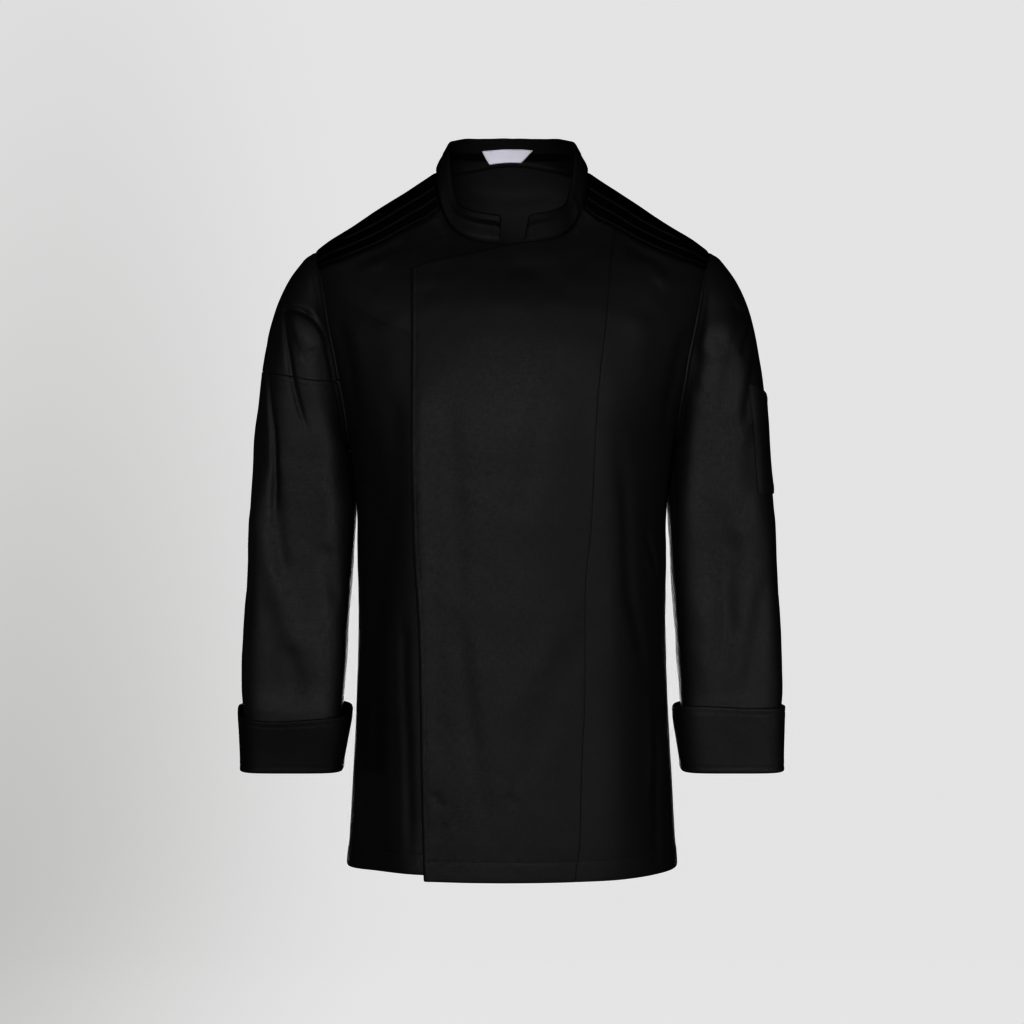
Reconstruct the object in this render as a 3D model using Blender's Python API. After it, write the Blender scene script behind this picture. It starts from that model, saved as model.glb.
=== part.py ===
"""Chef jacket, filled out as it is worn, with nobody inside.

Frame: metres, +Z up. The front faces -Y and the wearer's left is at +X. The origin is the middle of the
neck opening, at the height where the collar meets the shoulders.

The trunk is one smooth surface through level rings. A point on it has a turn, the angle about +Z that is 0 at
the front and grows towards the wearer's left, and a height. Each cut piece is a patch of that surface between
its seams, and its wall lies on the inner side. Sleeves, cuffs and collar are swept round their own loops.
"""

import math
from collections import namedtuple

import bmesh
import bpy
import numpy as np

# Cloth
WALL = 0.002
COLLAR_WALL = 0.003
COLLAR_END_SLANT = math.radians(5)
COLLAR_SLANT_SPREAD = 12
COLLAR_RIM = 0.92
CUFF_WALL = 0.0028
TRIM_WALL = 0.001
SEAM_GAP = 0.0003
COLLAR_SEAT = 0.0005

# Trunk
HEM_HEIGHT = -0.730
UNDER_FRONT_REACH = 0.040
UNDER_FRONT_TOP = -0.0865

# The overlap stands this far out, down to nothing beside the hidden edge and below the neck seam
OVERLAP_LIFT = 0.0032
LIFT_PAST_REACH = 0.032
LIFT_EASE = 0.014
LIFT_NECK_HEIGHT = -0.0575
LIFT_NECK_SLOPE = 0.16

# Turns about the upright
HALF_TURN = math.pi
SIDE_TURN = math.pi / 2

# Neck opening, in plan
NECK_HALF_WIDTH = 0.080
NECK_FRONT = 0.058
NECK_BACK = 0.062
NECK_FRONT_SQUARENESS = 2.8
NECK_BACK_SQUARENESS = 2.2
NOTCH_HALF_WIDTH = 0.013
NOTCH_HEIGHT = -0.076
NECK_LOWEST = -0.12

# Armhole, seen from the side
ARMHOLE_MIDDLE = 0.002
ARMHOLE_HEIGHT = -0.188
ARMHOLE_HALF_WIDTH = 0.046
ARMHOLE_HALF_HEIGHT = 0.104
ARMHOLE_STEPS = 20
YOKE_STEPS = 2

# Sleeve
CAP_END = -0.300
SLEEVE_END = -0.6275
CAP_ROWS = 8
SLEEVE_ROWS = 8

# The sleeve cap: how far its curve is pulled out at the armhole and up from the level rings, on average and
# by how much more over the top than at the underarm
CAP_PULL = 0.028
CAP_PULL_CHANGE = 0.022
CAP_DROP = 0.066
CAP_DROP_CHANGE = 0.064
CAP_UPRIGHT = np.array([-0.06, 0.0, 1.0]) / np.hypot(0.06, 1.0)
UNDERARM_CLEAR = 0.00075

# The seam across the right sleeve: its height at the outer side, and its drop towards the armhole
LEVEL_SEAM_HEIGHT = -0.2095
LEVEL_SEAM_DROP = 0.0093
LEVEL_SEAM_TIP = math.radians(104)
LEVEL_SEAM_GAP_UP = 0.0016
LEVEL_SEAM_GAP_DOWN = 0.0006

# Cuff: its heights, how far it stands off the sleeve at the bottom and the top, and its folded edge
CUFF_BOTTOM = -0.632
CUFF_TOP = -0.562
CUFF_NEAR = 0.0005
CUFF_FLARE = 0.0030
CUFF_INNER_LIP = 0.0030
CUFF_ROUNDING = 0.0020
CUFF_FLARE_START = 0.006

# Pen pocket, in the sleeve's own steps round it, from near its front to its outer back
POCKET_FIRST_STEP = 3
POCKET_LAST_STEP = -1
POCKET_TOP = -0.222
POCKET_SLOPE = 0.0067
POCKET_BOTTOM = -0.337
POCKET_CLEAR = 0.0007
POCKET_WALL = 0.0011

# Label: where its upper and lower corners lie across, and how far up the collar it reaches
LABEL_TOP = (0.022, -0.033)
LABEL_BOTTOM = (0.0095, -0.0244)
LABEL_TOP_DEPTH = 0.050
LABEL_BOTTOM_DEPTH = 0.056
LABEL_REACH = 0.56
LABEL_COLUMNS = 7
LABEL_BELOW = 0.001

# Tape: its lower and upper edges as shares of the collar's height, and how far it stops short of the sides
TAPE_EDGES = (0.06, 0.42)
TAPE_ENDS = 0.1

# Steps along the seams that pieces share
SIDE_ROWS = 9
NECK_FRONT_STEPS = 7
NECK_SIDE_STEPS = 3
NECK_BACK_STEPS = 8
SHOULDER_FRONT_STEPS = 2
SHOULDER_SIDE_STEPS = 5
TOP_EDGE_STEPS = 4

BodyRing = namedtuple("BodyRing", "height half_width front back squareness")
BODY_RINGS = (
    BodyRing(0.030, 0.040, 0.012, 0.042, 2.1),
    BodyRing(0.013, 0.062, 0.018, 0.062, 2.1),
    BodyRing(0.000, 0.080, 0.024, 0.073, 2.1),
    BodyRing(-0.020, 0.111, 0.031, 0.086, 2.1),
    BodyRing(-0.038, 0.139, 0.038, 0.093, 2.1),
    BodyRing(-0.054, 0.163, 0.045, 0.098, 2.1),
    BodyRing(-0.075, 0.196, 0.058, 0.104, 2.1),
    BodyRing(-0.086, 0.208, 0.066, 0.107, 2.1),
    BodyRing(-0.100, 0.212, 0.076, 0.111, 2.1),
    BodyRing(-0.120, 0.2105, 0.089, 0.116, 2.15),
    BodyRing(-0.155, 0.2055, 0.105, 0.123, 2.2),
    BodyRing(-0.194, 0.195, 0.117, 0.127, 2.2),
    BodyRing(-0.250, 0.1795, 0.127, 0.128, 2.3),
    BodyRing(-0.292, 0.171, 0.129, 0.126, 2.35),
    BodyRing(-0.330, 0.166, 0.129, 0.124, 2.4),
    BodyRing(-0.367, 0.163, 0.129, 0.123, 2.4),
    BodyRing(-0.453, 0.1625, 0.130, 0.122, 2.4),
    BodyRing(-0.558, 0.1645, 0.133, 0.126, 2.4),
    BodyRing(-0.632, 0.1685, 0.136, 0.130, 2.4),
    BodyRing(-0.730, 0.175, 0.140, 0.136, 2.4),
)

SleeveRing = namedtuple("SleeveRing", "height middle_x half_width middle_y half_depth")
SLEEVE_RINGS = (
    SleeveRing(-0.300, 0.2215, 0.0495, 0.004, 0.060),
    SleeveRing(-0.330, 0.2210, 0.0525, 0.003, 0.060),
    SleeveRing(-0.367, 0.2212, 0.0553, 0.002, 0.059),
    SleeveRing(-0.410, 0.2234, 0.0549, 0.000, 0.057),
    SleeveRing(-0.495, 0.2282, 0.0548, -0.008, 0.051),
    SleeveRing(-0.558, 0.2318, 0.0537, -0.014, 0.046),
    SleeveRing(-0.640, 0.2326, 0.0523, -0.020, 0.043),
)

SeamPoint = namedtuple("SeamPoint", "height x")
OVERLAP_EDGE = (
    SeamPoint(-0.730, -0.089),
    SeamPoint(-0.660, -0.091),
    SeamPoint(-0.536, -0.0925),
    SeamPoint(-0.450, -0.095),
    SeamPoint(-0.385, -0.099),
    SeamPoint(-0.180, -0.103),
    SeamPoint(-0.1024, -0.104),
)
OVERLAP_TOP = (
    SeamPoint(-0.1024, -0.104),
    SeamPoint(-0.0957, -0.086),
    SeamPoint(-0.0894, -0.057),
    SeamPoint(-0.0843, -0.0332),
    SeamPoint(-0.0798, -0.0134),
)
PRINCESS_SEAM = (
    SeamPoint(-0.730, 0.0643),
    SeamPoint(-0.687, 0.0694),
    SeamPoint(-0.612, 0.0715),
    SeamPoint(-0.537, 0.0745),
    SeamPoint(-0.442, 0.0750),
    SeamPoint(-0.359, 0.0813),
    SeamPoint(-0.2425, 0.087),
    SeamPoint(-0.155, 0.0969),
    SeamPoint(-0.113, 0.1006),
    SeamPoint(-0.060, 0.1065),
)
YOKE_SEAM = (
    SeamPoint(-0.040, 0.0745),
    SeamPoint(-0.052, 0.089),
    SeamPoint(-0.062, 0.110),
    SeamPoint(-0.075, 0.133),
    SeamPoint(-0.0855, 0.157),
    SeamPoint(-0.093, 0.175),
)

CollarColumn = namedtuple("CollarColumn", "turn rise lean")
COLLAR_COLUMNS = (
    CollarColumn(math.radians(0), 0.0255, 0.002),
    CollarColumn(math.radians(30), 0.0275, 0.004),
    CollarColumn(math.radians(45), 0.0260, 0.007),
    CollarColumn(math.radians(58), 0.0210, 0.010),
    CollarColumn(math.radians(75), 0.0245, 0.0115),
    CollarColumn(math.radians(90), 0.0255, 0.0115),
    CollarColumn(math.radians(110), 0.0320, 0.0105),
    CollarColumn(math.radians(125), 0.0325, 0.0095),
    CollarColumn(math.radians(145), 0.0285, 0.0085),
    CollarColumn(math.radians(160), 0.0257, 0.0075),
    CollarColumn(math.radians(180), 0.0240, 0.0070),
)

# Each ridge across the shoulder strip, from its front seam at 0 to the shoulder line at 1, and how far it
# runs from the collar towards the armhole
Piping = namedtuple("Piping", "front back reach")
PIPINGS = (
    Piping(0.02, 0.10, 1.0),
    Piping(0.24, 0.32, 1.0),
    Piping(0.47, 0.55, 0.7),
)
PIPING_HEIGHT = 0.0018

# How far the turned-back cuff dips at the front, on each sleeve
CUFF_DIP = {"left": -0.004, "right": 0.010}

CLOTH_BLACK = (0.012, 0.012, 0.013, 1.0)
TAPE_BLACK = (0.006, 0.006, 0.006, 1.0)
LABEL_GREY = (0.72, 0.72, 0.78, 1.0)


def smooth_curve(places, values):
    """A smooth line through a table's rows that never swings past them."""
    order = np.argsort(places)
    x = np.asarray(places, float)[order]
    y = np.asarray(values, float)[order]
    step = np.diff(x)
    rise = np.diff(y) / step
    slope = np.zeros(len(x))
    slope[0] = rise[0]
    slope[-1] = rise[-1]
    same = rise[:-1] * rise[1:] > 0
    before = 2 * step[1:] + step[:-1]
    after = step[1:] + 2 * step[:-1]
    with np.errstate(divide="ignore", invalid="ignore"):
        mean = (before + after) / (before / rise[:-1] + after / rise[1:])
    slope[1:-1] = np.where(same, mean, 0.0)

    def value(place):
        place = np.clip(np.asarray(place, float), x[0], x[-1])
        i = np.clip(np.searchsorted(x, place) - 1, 0, len(step) - 1)
        t = (place - x[i]) / step[i]
        start = (1 + 2 * t) * (1 - t) ** 2 * y[i] + t * (1 - t) ** 2 * step[i] * slope[i]
        end = t * t * (3 - 2 * t) * y[i + 1] - t * t * (1 - t) * step[i] * slope[i + 1]
        return start + end

    return value


def column(table, place, name):
    """One column of a table as a smooth function of another."""
    return smooth_curve([getattr(row, place) for row in table], [getattr(row, name) for row in table])


body_half_width = column(BODY_RINGS, "height", "half_width")
body_front = column(BODY_RINGS, "height", "front")
body_back = column(BODY_RINGS, "height", "back")
body_squareness = column(BODY_RINGS, "height", "squareness")
collar_rise = column(COLLAR_COLUMNS, "turn", "rise")
collar_lean = column(COLLAR_COLUMNS, "turn", "lean")
sleeve_middle_x = column(SLEEVE_RINGS, "height", "middle_x")
sleeve_half_width = column(SLEEVE_RINGS, "height", "half_width")
sleeve_middle_y = column(SLEEVE_RINGS, "height", "middle_y")
sleeve_half_depth = column(SLEEVE_RINGS, "height", "half_depth")


# The trunk's surface


def body_radius(turn, height):
    across = np.abs(np.sin(turn)) / body_half_width(height)
    depth = np.where(np.cos(turn) > 0, body_front(height), body_back(height))
    along = np.abs(np.cos(turn)) / depth
    power = body_squareness(height)
    return (across**power + along**power) ** (-1 / power)


def body_outside(turn, height):
    turn, height = np.broadcast_arrays(np.asarray(turn, float), np.asarray(height, float))
    radius = body_radius(turn, height)
    return np.stack([radius * np.sin(turn), -radius * np.cos(turn), height], axis=-1)


def unit(vectors):
    return vectors / np.linalg.norm(vectors, axis=-1, keepdims=True)


def body_slopes(turn, height):
    """How the surface runs for each unit of turn and of height."""
    small_turn, small_height = 1e-4, 1e-5
    by_turn = body_outside(turn + small_turn, height) - body_outside(turn - small_turn, height)
    by_height = body_outside(turn, height + small_height) - body_outside(turn, height - small_height)
    return by_turn / (2 * small_turn), by_height / (2 * small_height)


def body_normal(turn, height):
    return unit(np.cross(*body_slopes(turn, height)))


def body_point(turn, height, out=0.0):
    """A point of the trunk's surface, moved out along the surface's own direction."""
    out = np.asarray(out, float)[..., None]
    return body_outside(turn, height) + out * body_normal(turn, height)


def front_turn(x, height):
    """The turn at which the front of the trunk has this x."""
    power = body_squareness(height)
    reach = np.clip(1 - (np.abs(x) / body_half_width(height)) ** power, 0, None)
    y = -body_front(height) * reach ** (1 / power)
    return np.arctan2(x, -y)


def side_turn(y, height):
    """The turn at which the wearer's left side of the trunk has this y."""
    power = body_squareness(height)
    depth = np.where(y < 0, body_front(height), body_back(height))
    x = body_half_width(height) * (1 - (np.abs(y) / depth) ** power) ** (1 / power)
    return np.arctan2(x, -y)


# Seams, each as rows of (turn, height)


def armhole(angles):
    """The wearer's left armhole, from its top at 0, down its front to the underarm at a half turn."""
    y = ARMHOLE_MIDDLE - ARMHOLE_HALF_WIDTH * np.sin(angles)
    height = ARMHOLE_HEIGHT + ARMHOLE_HALF_HEIGHT * np.cos(angles)
    turn = side_turn(y, height)
    return np.stack([turn, height], axis=-1)


def neck_height(turn):
    """The height of the neck seam, where the trunk's surface meets the neck opening's plan."""
    front = np.cos(turn) > 0
    across = np.abs(np.sin(turn)) / NECK_HALF_WIDTH
    along = np.abs(np.cos(turn)) / np.where(front, NECK_FRONT, NECK_BACK)
    power = np.where(front, NECK_FRONT_SQUARENESS, NECK_BACK_SQUARENESS)
    wanted = (across**power + along**power) ** (-1 / power)
    low = np.full(np.shape(turn), NECK_LOWEST)
    high = np.full(np.shape(turn), BODY_RINGS[0].height)
    for _ in range(40):
        middle = (low + high) / 2
        outside = body_radius(turn, middle) > wanted
        low = np.where(outside, middle, low)
        high = np.where(outside, high, middle)
    return (low + high) / 2


def neck_seam(turns):
    turns = np.asarray(turns, float)
    return np.stack([turns, neck_height(turns)], axis=-1)


def front_seam(table, count):
    """A seam on the front, from a table of heights and places across, as an even run of points."""
    places = np.linspace(0, 1, count)
    steps = np.linspace(0, 1, len(table))
    heights = smooth_curve(steps, [row.height for row in table])(places)
    across = smooth_curve(steps, [row.x for row in table])(places)
    return np.stack([front_turn(across, heights), heights], axis=-1)


def lengths_along(seam):
    """How far along a seam each of its points lies, from 0 to 1."""
    points = body_outside(seam[:, 0], seam[:, 1])
    steps = np.linalg.norm(np.diff(points, axis=0), axis=1)
    total = np.concatenate([[0], np.cumsum(steps)])
    return total / total[-1]


def spread(seam, fractions):
    """A seam's points moved so that they lie at these fractions of its length."""
    along = lengths_along(seam)
    return np.stack([np.interp(fractions, along, seam[:, i]) for i in range(2)], axis=-1)


def joined(*seams):
    """Seams that meet end to end, with each shared point kept once."""
    return np.concatenate([seams[0]] + [seam[1:] for seam in seams[1:]])


FINE = 160
LEFT_NECK_TURN = float(front_turn(np.array(NOTCH_HALF_WIDTH), np.array(NOTCH_HEIGHT)))
YOKE_NECK_TURN = float(front_turn(np.array(YOKE_SEAM[0].x), np.array(YOKE_SEAM[0].height)))
ARMHOLE_ANGLES = np.linspace(0, 2 * math.pi, ARMHOLE_STEPS + 1)
NECK_FRONT_TURNS = np.linspace(LEFT_NECK_TURN, YOKE_NECK_TURN, NECK_FRONT_STEPS + 1)
NECK_SIDE_TURNS = np.linspace(YOKE_NECK_TURN, SIDE_TURN, NECK_SIDE_STEPS + 1)
NECK_BACK_TURNS = np.linspace(SIDE_TURN, HALF_TURN, NECK_BACK_STEPS + 1)


def yoke_seam():
    """The front edge of the shoulder strip, from the neck seam to the armhole."""
    start = neck_seam([YOKE_NECK_TURN])
    end = armhole(ARMHOLE_ANGLES[YOKE_STEPS : YOKE_STEPS + 1])
    middle = front_seam(YOKE_SEAM[1:], FINE)
    return spread(np.concatenate([start, middle, end]), np.linspace(0, 1, FINE))


def shoulder_steps():
    """The shared steps along the shoulder strip, with one where the princess seam meets it."""
    seam = yoke_seam()
    x = body_outside(seam[:, 0], seam[:, 1])[:, 0]
    meets = np.interp(PRINCESS_SEAM[-1].x, x, lengths_along(seam))
    front = np.linspace(0, meets, SHOULDER_FRONT_STEPS + 1)
    return np.concatenate([front, np.linspace(meets, 1, SHOULDER_SIDE_STEPS + 1)[1:]])


def side_and_armhole(last_step):
    """The side seam from the hem up, then the wearer's left armhole up to one of its steps."""
    underarm = ARMHOLE_STEPS // 2
    bottom = armhole(np.array([math.pi]))[0]
    heights = np.linspace(HEM_HEIGHT, bottom[1], SIDE_ROWS + 1)
    turns = np.linspace(SIDE_TURN, bottom[0], SIDE_ROWS + 1)
    side = np.stack([turns, heights], axis=-1)
    step = 1 if last_step > underarm else -1
    return joined(side, armhole(ARMHOLE_ANGLES[np.arange(underarm, last_step + step, step)]))


def at_rows(seam, edge):
    """A seam's points at the rows of a panel's other edge, as high up in proportion."""
    share = (edge[:, 1] - edge[0, 1]) / (edge[-1, 1] - edge[0, 1])
    heights = seam[0, 1] + share * (seam[-1, 1] - seam[0, 1])
    return np.stack([np.interp(heights, seam[:, 1], seam[:, 0]), heights], axis=-1)


def princess_seam():
    """From the hem up to the shoulder strip's front edge, in the rows of the armhole beside it."""
    meets = spread(yoke_seam(), shoulder_steps()[SHOULDER_FRONT_STEPS : SHOULDER_FRONT_STEPS + 1])
    seam = np.concatenate([front_seam(PRINCESS_SEAM, FINE)[:-2], meets])
    return at_rows(seam, side_and_armhole(YOKE_STEPS))


def mirrored(seam):
    return seam * np.array([-1.0, 1.0])


# Patches and solids


def drawn_in(grid, gap):
    """A patch whose rim stands back by half a seam's gap, along the surface."""
    rows, columns = grid.shape[:2]
    rim = [(0, j) for j in range(columns)]
    rim += [(i, columns - 1) for i in range(1, rows)]
    rim += [(rows - 1, j) for j in range(columns - 2, -1, -1)]
    rim += [(i, 0) for i in range(rows - 2, 0, -1)]
    flat = np.array([grid[place] for place in rim])
    points = body_outside(flat[:, 0], flat[:, 1])
    normal = body_normal(flat[:, 0], flat[:, 1])
    ahead = unit(np.roll(points, -1, axis=0) - points)
    side = unit(np.cross(normal, ahead))
    before = np.roll(side, 1, axis=0)
    inward = (side + before) / (1 + np.sum(side * before, axis=1, keepdims=True))
    middle = points.mean(axis=0)
    if np.sum((middle - points) * inward) < 0:
        inward = -inward
    by_turn, by_height = body_slopes(flat[:, 0], flat[:, 1])
    moved = grid.copy()
    for place, start, turn, height, move in zip(rim, flat, by_turn, by_height, inward * gap / 2):
        change = np.linalg.lstsq(np.stack([turn, height], axis=1), move, rcond=None)[0]
        moved[place] = start + change
    return moved


def patch(bottom, top, left, right):
    """A grid of (turn, height) between four seams, the edges standing back by half a seam's gap."""
    rows, columns = len(left), len(bottom)
    grid = np.zeros((rows, columns, 2))
    grid[0], grid[-1], grid[:, 0], grid[:, -1] = bottom, top, left, right
    u = lengths_along(top)[None, :, None]
    v = ((right[:, 1] - right[0, 1]) / (right[-1, 1] - right[0, 1]))[:, None, None]
    grid = drawn_in(grid, SEAM_GAP)
    bottom, top, left, right = grid[0], grid[-1], grid[:, 0], grid[:, -1]
    across = (1 - v) * bottom[None] + v * top[None] + (1 - u) * left[:, None] + u * right[:, None]
    corners = (1 - v) * ((1 - u) * bottom[0] + u * bottom[-1]) + v * ((1 - u) * top[0] + u * top[-1])
    return across - corners


def add_solid(name, faces_of, material):
    """An object from points and faces, with every face turned outwards."""
    points, faces = faces_of
    mesh = bpy.data.meshes.new(name)
    mesh.from_pydata([tuple(point) for point in points], [], faces)
    shape = bmesh.new()
    shape.from_mesh(mesh)
    bmesh.ops.recalc_face_normals(shape, faces=shape.faces)
    shape.to_mesh(mesh)
    shape.free()
    mesh.shade_smooth()
    mesh.set_sharp_from_angle(angle=math.radians(40))
    mesh.materials.append(material)
    bpy.context.scene.collection.objects.link(bpy.data.objects.new(name, mesh))


def shell(outer, inner, round_and_round=False):
    """Points and faces of the wall between two grids. A tube's columns close on themselves."""
    rows, columns = outer.shape[:2]
    count = rows * columns
    points = np.concatenate([outer.reshape(-1, 3), inner.reshape(-1, 3)])
    last = columns if round_and_round else columns - 1
    faces = []
    for i in range(rows - 1):
        for j in range(last):
            a, b = i * columns + j, i * columns + (j + 1) % columns
            quad = (a, b, b + columns, a + columns)
            faces.append(quad)
            faces.append(tuple(count + corner for corner in reversed(quad)))
    for j in range(last):
        for i in (0, rows - 1):
            a, b = i * columns + j, i * columns + (j + 1) % columns
            faces.append((a, count + a, count + b, b))
    if not round_and_round:
        for i in range(rows - 1):
            for j in (0, columns - 1):
                a, b = i * columns + j, (i + 1) * columns + j
                faces.append((a, b, count + b, count + a))
    return points, faces


def body_shell(grid, out=0.0, wall=WALL):
    """The wall of a trunk panel, its outer side moved out from the trunk's surface."""
    turn, height = grid[..., 0], grid[..., 1]
    return shell(body_point(turn, height, out), body_point(turn, height, out - wall))


def swept(sections):
    """A closed section carried round a closed path: sections[k] is the section's points at place k."""
    places, corners = sections.shape[:2]
    points = sections.reshape(-1, 3)
    faces = []
    for k in range(places):
        after = (k + 1) % places
        for c in range(corners):
            d = (c + 1) % corners
            faces.append((k * corners + c, k * corners + d, after * corners + d, after * corners + c))
    return points, faces


def mirror_solid(solid):
    points, faces = solid
    return points * np.array([-1.0, 1.0, 1.0]), faces


# Trunk panels


def eased(value):
    value = np.clip(value, 0, 1)
    return value * value * (3 - 2 * value)


def overlap_lift(grid):
    """How far the overlapping front stands out: over the front beneath it, easing down beyond."""
    points = body_outside(grid[..., 0], grid[..., 1])
    x, height = points[..., 0], points[..., 2]
    past_reach = eased((UNDER_FRONT_REACH + LIFT_PAST_REACH - x) / LIFT_EASE)
    edge = LIFT_NECK_HEIGHT - LIFT_NECK_SLOPE * np.clip(x - NOTCH_HALF_WIDTH, 0, None)
    below_neck = np.where(x > NOTCH_HALF_WIDTH, eased((edge - height) / LIFT_EASE), 1.0)
    return OVERLAP_LIFT * past_reach * below_neck


def hem_between(start, end, fractions):
    turns = np.linspace(start, end, FINE)
    return spread(np.stack([turns, np.full(FINE, HEM_HEIGHT)], axis=-1), fractions)


def over_front():
    """The wearer's left centre front, with the overlap."""
    shoulder = spread(yoke_seam(), shoulder_steps()[: SHOULDER_FRONT_STEPS + 1])
    right = joined(princess_seam(), shoulder[::-1])
    left = at_rows(front_seam(OVERLAP_EDGE, FINE), right)
    top_edge = spread(front_seam(OVERLAP_TOP, FINE), np.linspace(0, 1, TOP_EDGE_STEPS + 1))
    top = joined(top_edge, neck_seam(NECK_FRONT_TURNS))
    hem = hem_between(left[0, 0], right[0, 0], lengths_along(top))
    grid = patch(hem, top, left, right)
    return body_shell(grid, out=overlap_lift(grid))


def side_front_left():
    right = side_and_armhole(YOKE_STEPS)
    left = princess_seam()
    top = spread(yoke_seam(), shoulder_steps()[SHOULDER_FRONT_STEPS:])
    hem = hem_between(left[0, 0], right[0, 0], lengths_along(top))
    return body_shell(patch(hem, top, left, right))


def under_front():
    """The wearer's right front, worked out on the left and mirrored."""
    right = joined(side_and_armhole(YOKE_STEPS), spread(yoke_seam(), shoulder_steps())[::-1])
    heights = np.linspace(HEM_HEIGHT, UNDER_FRONT_TOP, FINE)
    hidden_edge = np.stack([front_turn(-UNDER_FRONT_REACH, heights), heights], axis=-1)
    left = at_rows(hidden_edge, right)
    neck = neck_seam(NECK_FRONT_TURNS)
    top_edge = spread(np.stack([left[-1], neck[0]]), np.linspace(0, 1, TOP_EDGE_STEPS + 1))
    top = joined(top_edge, neck)
    hem = hem_between(left[0, 0], right[0, 0], lengths_along(top))
    return mirror_solid(body_shell(patch(hem, top, left, right)))


def shoulder_line():
    """From the neck seam to the top of the armhole, along the top of the shoulder."""
    start = neck_seam([SIDE_TURN])[0]
    end = armhole(np.array([0.0]))[0]
    return np.stack([np.linspace(start[0], end[0], FINE), np.linspace(start[1], end[1], FINE)], axis=-1)


def back_panel():
    shoulder = spread(shoulder_line(), shoulder_steps())[::-1]
    near = joined(side_and_armhole(ARMHOLE_STEPS), shoulder)
    far = mirrored(near) + np.array([2 * HALF_TURN, 0])
    far_turns = 2 * HALF_TURN - NECK_BACK_TURNS[::-1]
    neck = neck_seam(np.concatenate([NECK_BACK_TURNS, far_turns[1:]]))
    hem = hem_between(near[0, 0], far[0, 0], lengths_along(neck))
    return body_shell(patch(hem, neck, near, far))


def shoulder_rows():
    """Where the shoulder strip's rows lie, with a row along each edge of each ridge."""
    return np.array(sorted({0.0, 0.76, 1.0} | {edge for row in PIPINGS for edge in (row.front, row.back)}))


def shoulder_grid():
    top = spread(shoulder_line(), shoulder_steps())
    bottom = spread(yoke_seam(), shoulder_steps())
    neck = spread(neck_seam(np.linspace(YOKE_NECK_TURN, SIDE_TURN, FINE)), shoulder_rows())
    arm_angles = np.linspace(ARMHOLE_ANGLES[YOKE_STEPS], 0, FINE)
    return patch(bottom, top, neck, spread(armhole(arm_angles), shoulder_rows()))


def piping(grid, ridge):
    """A ridge on the shoulder strip, made from the strip's own points, moved out."""
    rows = shoulder_rows()
    first = int(np.argmin(np.abs(rows - ridge.front)))
    columns = round((grid.shape[1] - 1) * ridge.reach) + 1
    strip = grid[first : first + 2, :columns]
    turn, height = strip[..., 0], strip[..., 1]
    bottom = body_point(turn, height, SEAM_GAP)
    middle = bottom.mean(axis=0, keepdims=True)
    top = middle + (body_point(turn, height, SEAM_GAP + PIPING_HEIGHT) - bottom).mean(axis=0, keepdims=True)
    ridge_side = np.concatenate([bottom[:1], top, bottom[1:]])
    cloth_side = np.concatenate([bottom[:1], middle, bottom[1:]])
    return shell(ridge_side, cloth_side)


# Collar, tape and label


def collar_point(turn, share, inward=0.0):
    """A point of the collar's outer side at a share of its height, moved in towards the neck."""
    turn, share, inward = np.broadcast_arrays(turn, share, inward)
    base = body_outside(turn, neck_height(turn))
    place = np.abs((turn + HALF_TURN) % (2 * HALF_TURN) - HALF_TURN)
    towards_neck = np.stack([-np.sin(turn), np.cos(turn), np.zeros(turn.shape)], axis=-1)
    upwards = np.array([0.0, 0.0, 1.0])
    shift = (collar_lean(place) * share**1.3 + inward)[..., None] * towards_neck
    return base + shift + (COLLAR_SEAT + collar_rise(place) * share)[..., None] * upwards


def collar_turns():
    """The neck seam's shared steps, round the back from the left front end to the right one."""
    left = np.concatenate([NECK_FRONT_TURNS, NECK_SIDE_TURNS[1:], NECK_BACK_TURNS[1:]])
    return np.concatenate([left, 2 * HALF_TURN - left[-2::-1]])


def collar():
    """The stand. Its left front end slants and its right one is upright."""
    share = np.array([0.0, 0.5, COLLAR_RIM])[:, None]
    turns = collar_turns()[None, :]
    from_end = np.linspace(1, 0, turns.shape[1]) ** COLLAR_SLANT_SPREAD
    slanted = turns + COLLAR_END_SLANT * share * from_end
    outer = collar_point(slanted, share, 0.0)
    inner = collar_point(slanted, share, COLLAR_WALL)
    rim = collar_point(slanted[-1:], 1.0, COLLAR_WALL / 2)
    return shell(np.concatenate([outer, rim]), np.concatenate([inner, (inner[-1:] + rim) / 2]))


def neck_tape():
    """A band inside the back of the neck, made from the collar's points, moved in."""
    turns = collar_turns()
    turns = turns[(turns > SIDE_TURN + TAPE_ENDS) & (turns < 3 * SIDE_TURN - TAPE_ENDS)][None, :]
    share = np.array(TAPE_EDGES)[:, None]
    near = COLLAR_WALL + 2 * SEAM_GAP
    return shell(collar_point(turns, share, near), collar_point(turns, share, near + TRIM_WALL))


def neck_label():
    """A plain label on the tape, wider at its top."""
    near = COLLAR_WALL + 4 * SEAM_GAP + TRIM_WALL
    top = np.linspace(*LABEL_TOP, LABEL_COLUMNS)
    bottom = np.linspace(*LABEL_BOTTOM, LABEL_COLUMNS)
    turns = np.stack([np.arctan2(bottom, -LABEL_BOTTOM_DEPTH), np.arctan2(top, -LABEL_TOP_DEPTH)])
    turns = np.where(turns < 0, turns + 2 * HALF_TURN, turns)
    share = np.array([[0.0], [LABEL_REACH]])
    outer = collar_point(turns, share, near)
    outer[0, :, 2] -= LABEL_BELOW
    inner = outer - np.array([0.0, TRIM_WALL, 0.0])
    return shell(outer, inner)


# Sleeves and cuffs, worked out on the wearer's left


def sleeve_ring(angle, height):
    """A level ring of the lower sleeve: angle 0 is the outer side, a quarter turn is the front."""
    x = sleeve_middle_x(height) + sleeve_half_width(height) * np.cos(angle)
    y = sleeve_middle_y(height) - sleeve_half_depth(height) * np.sin(angle)
    return np.stack(np.broadcast_arrays(x, y, height), axis=-1)


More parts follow.
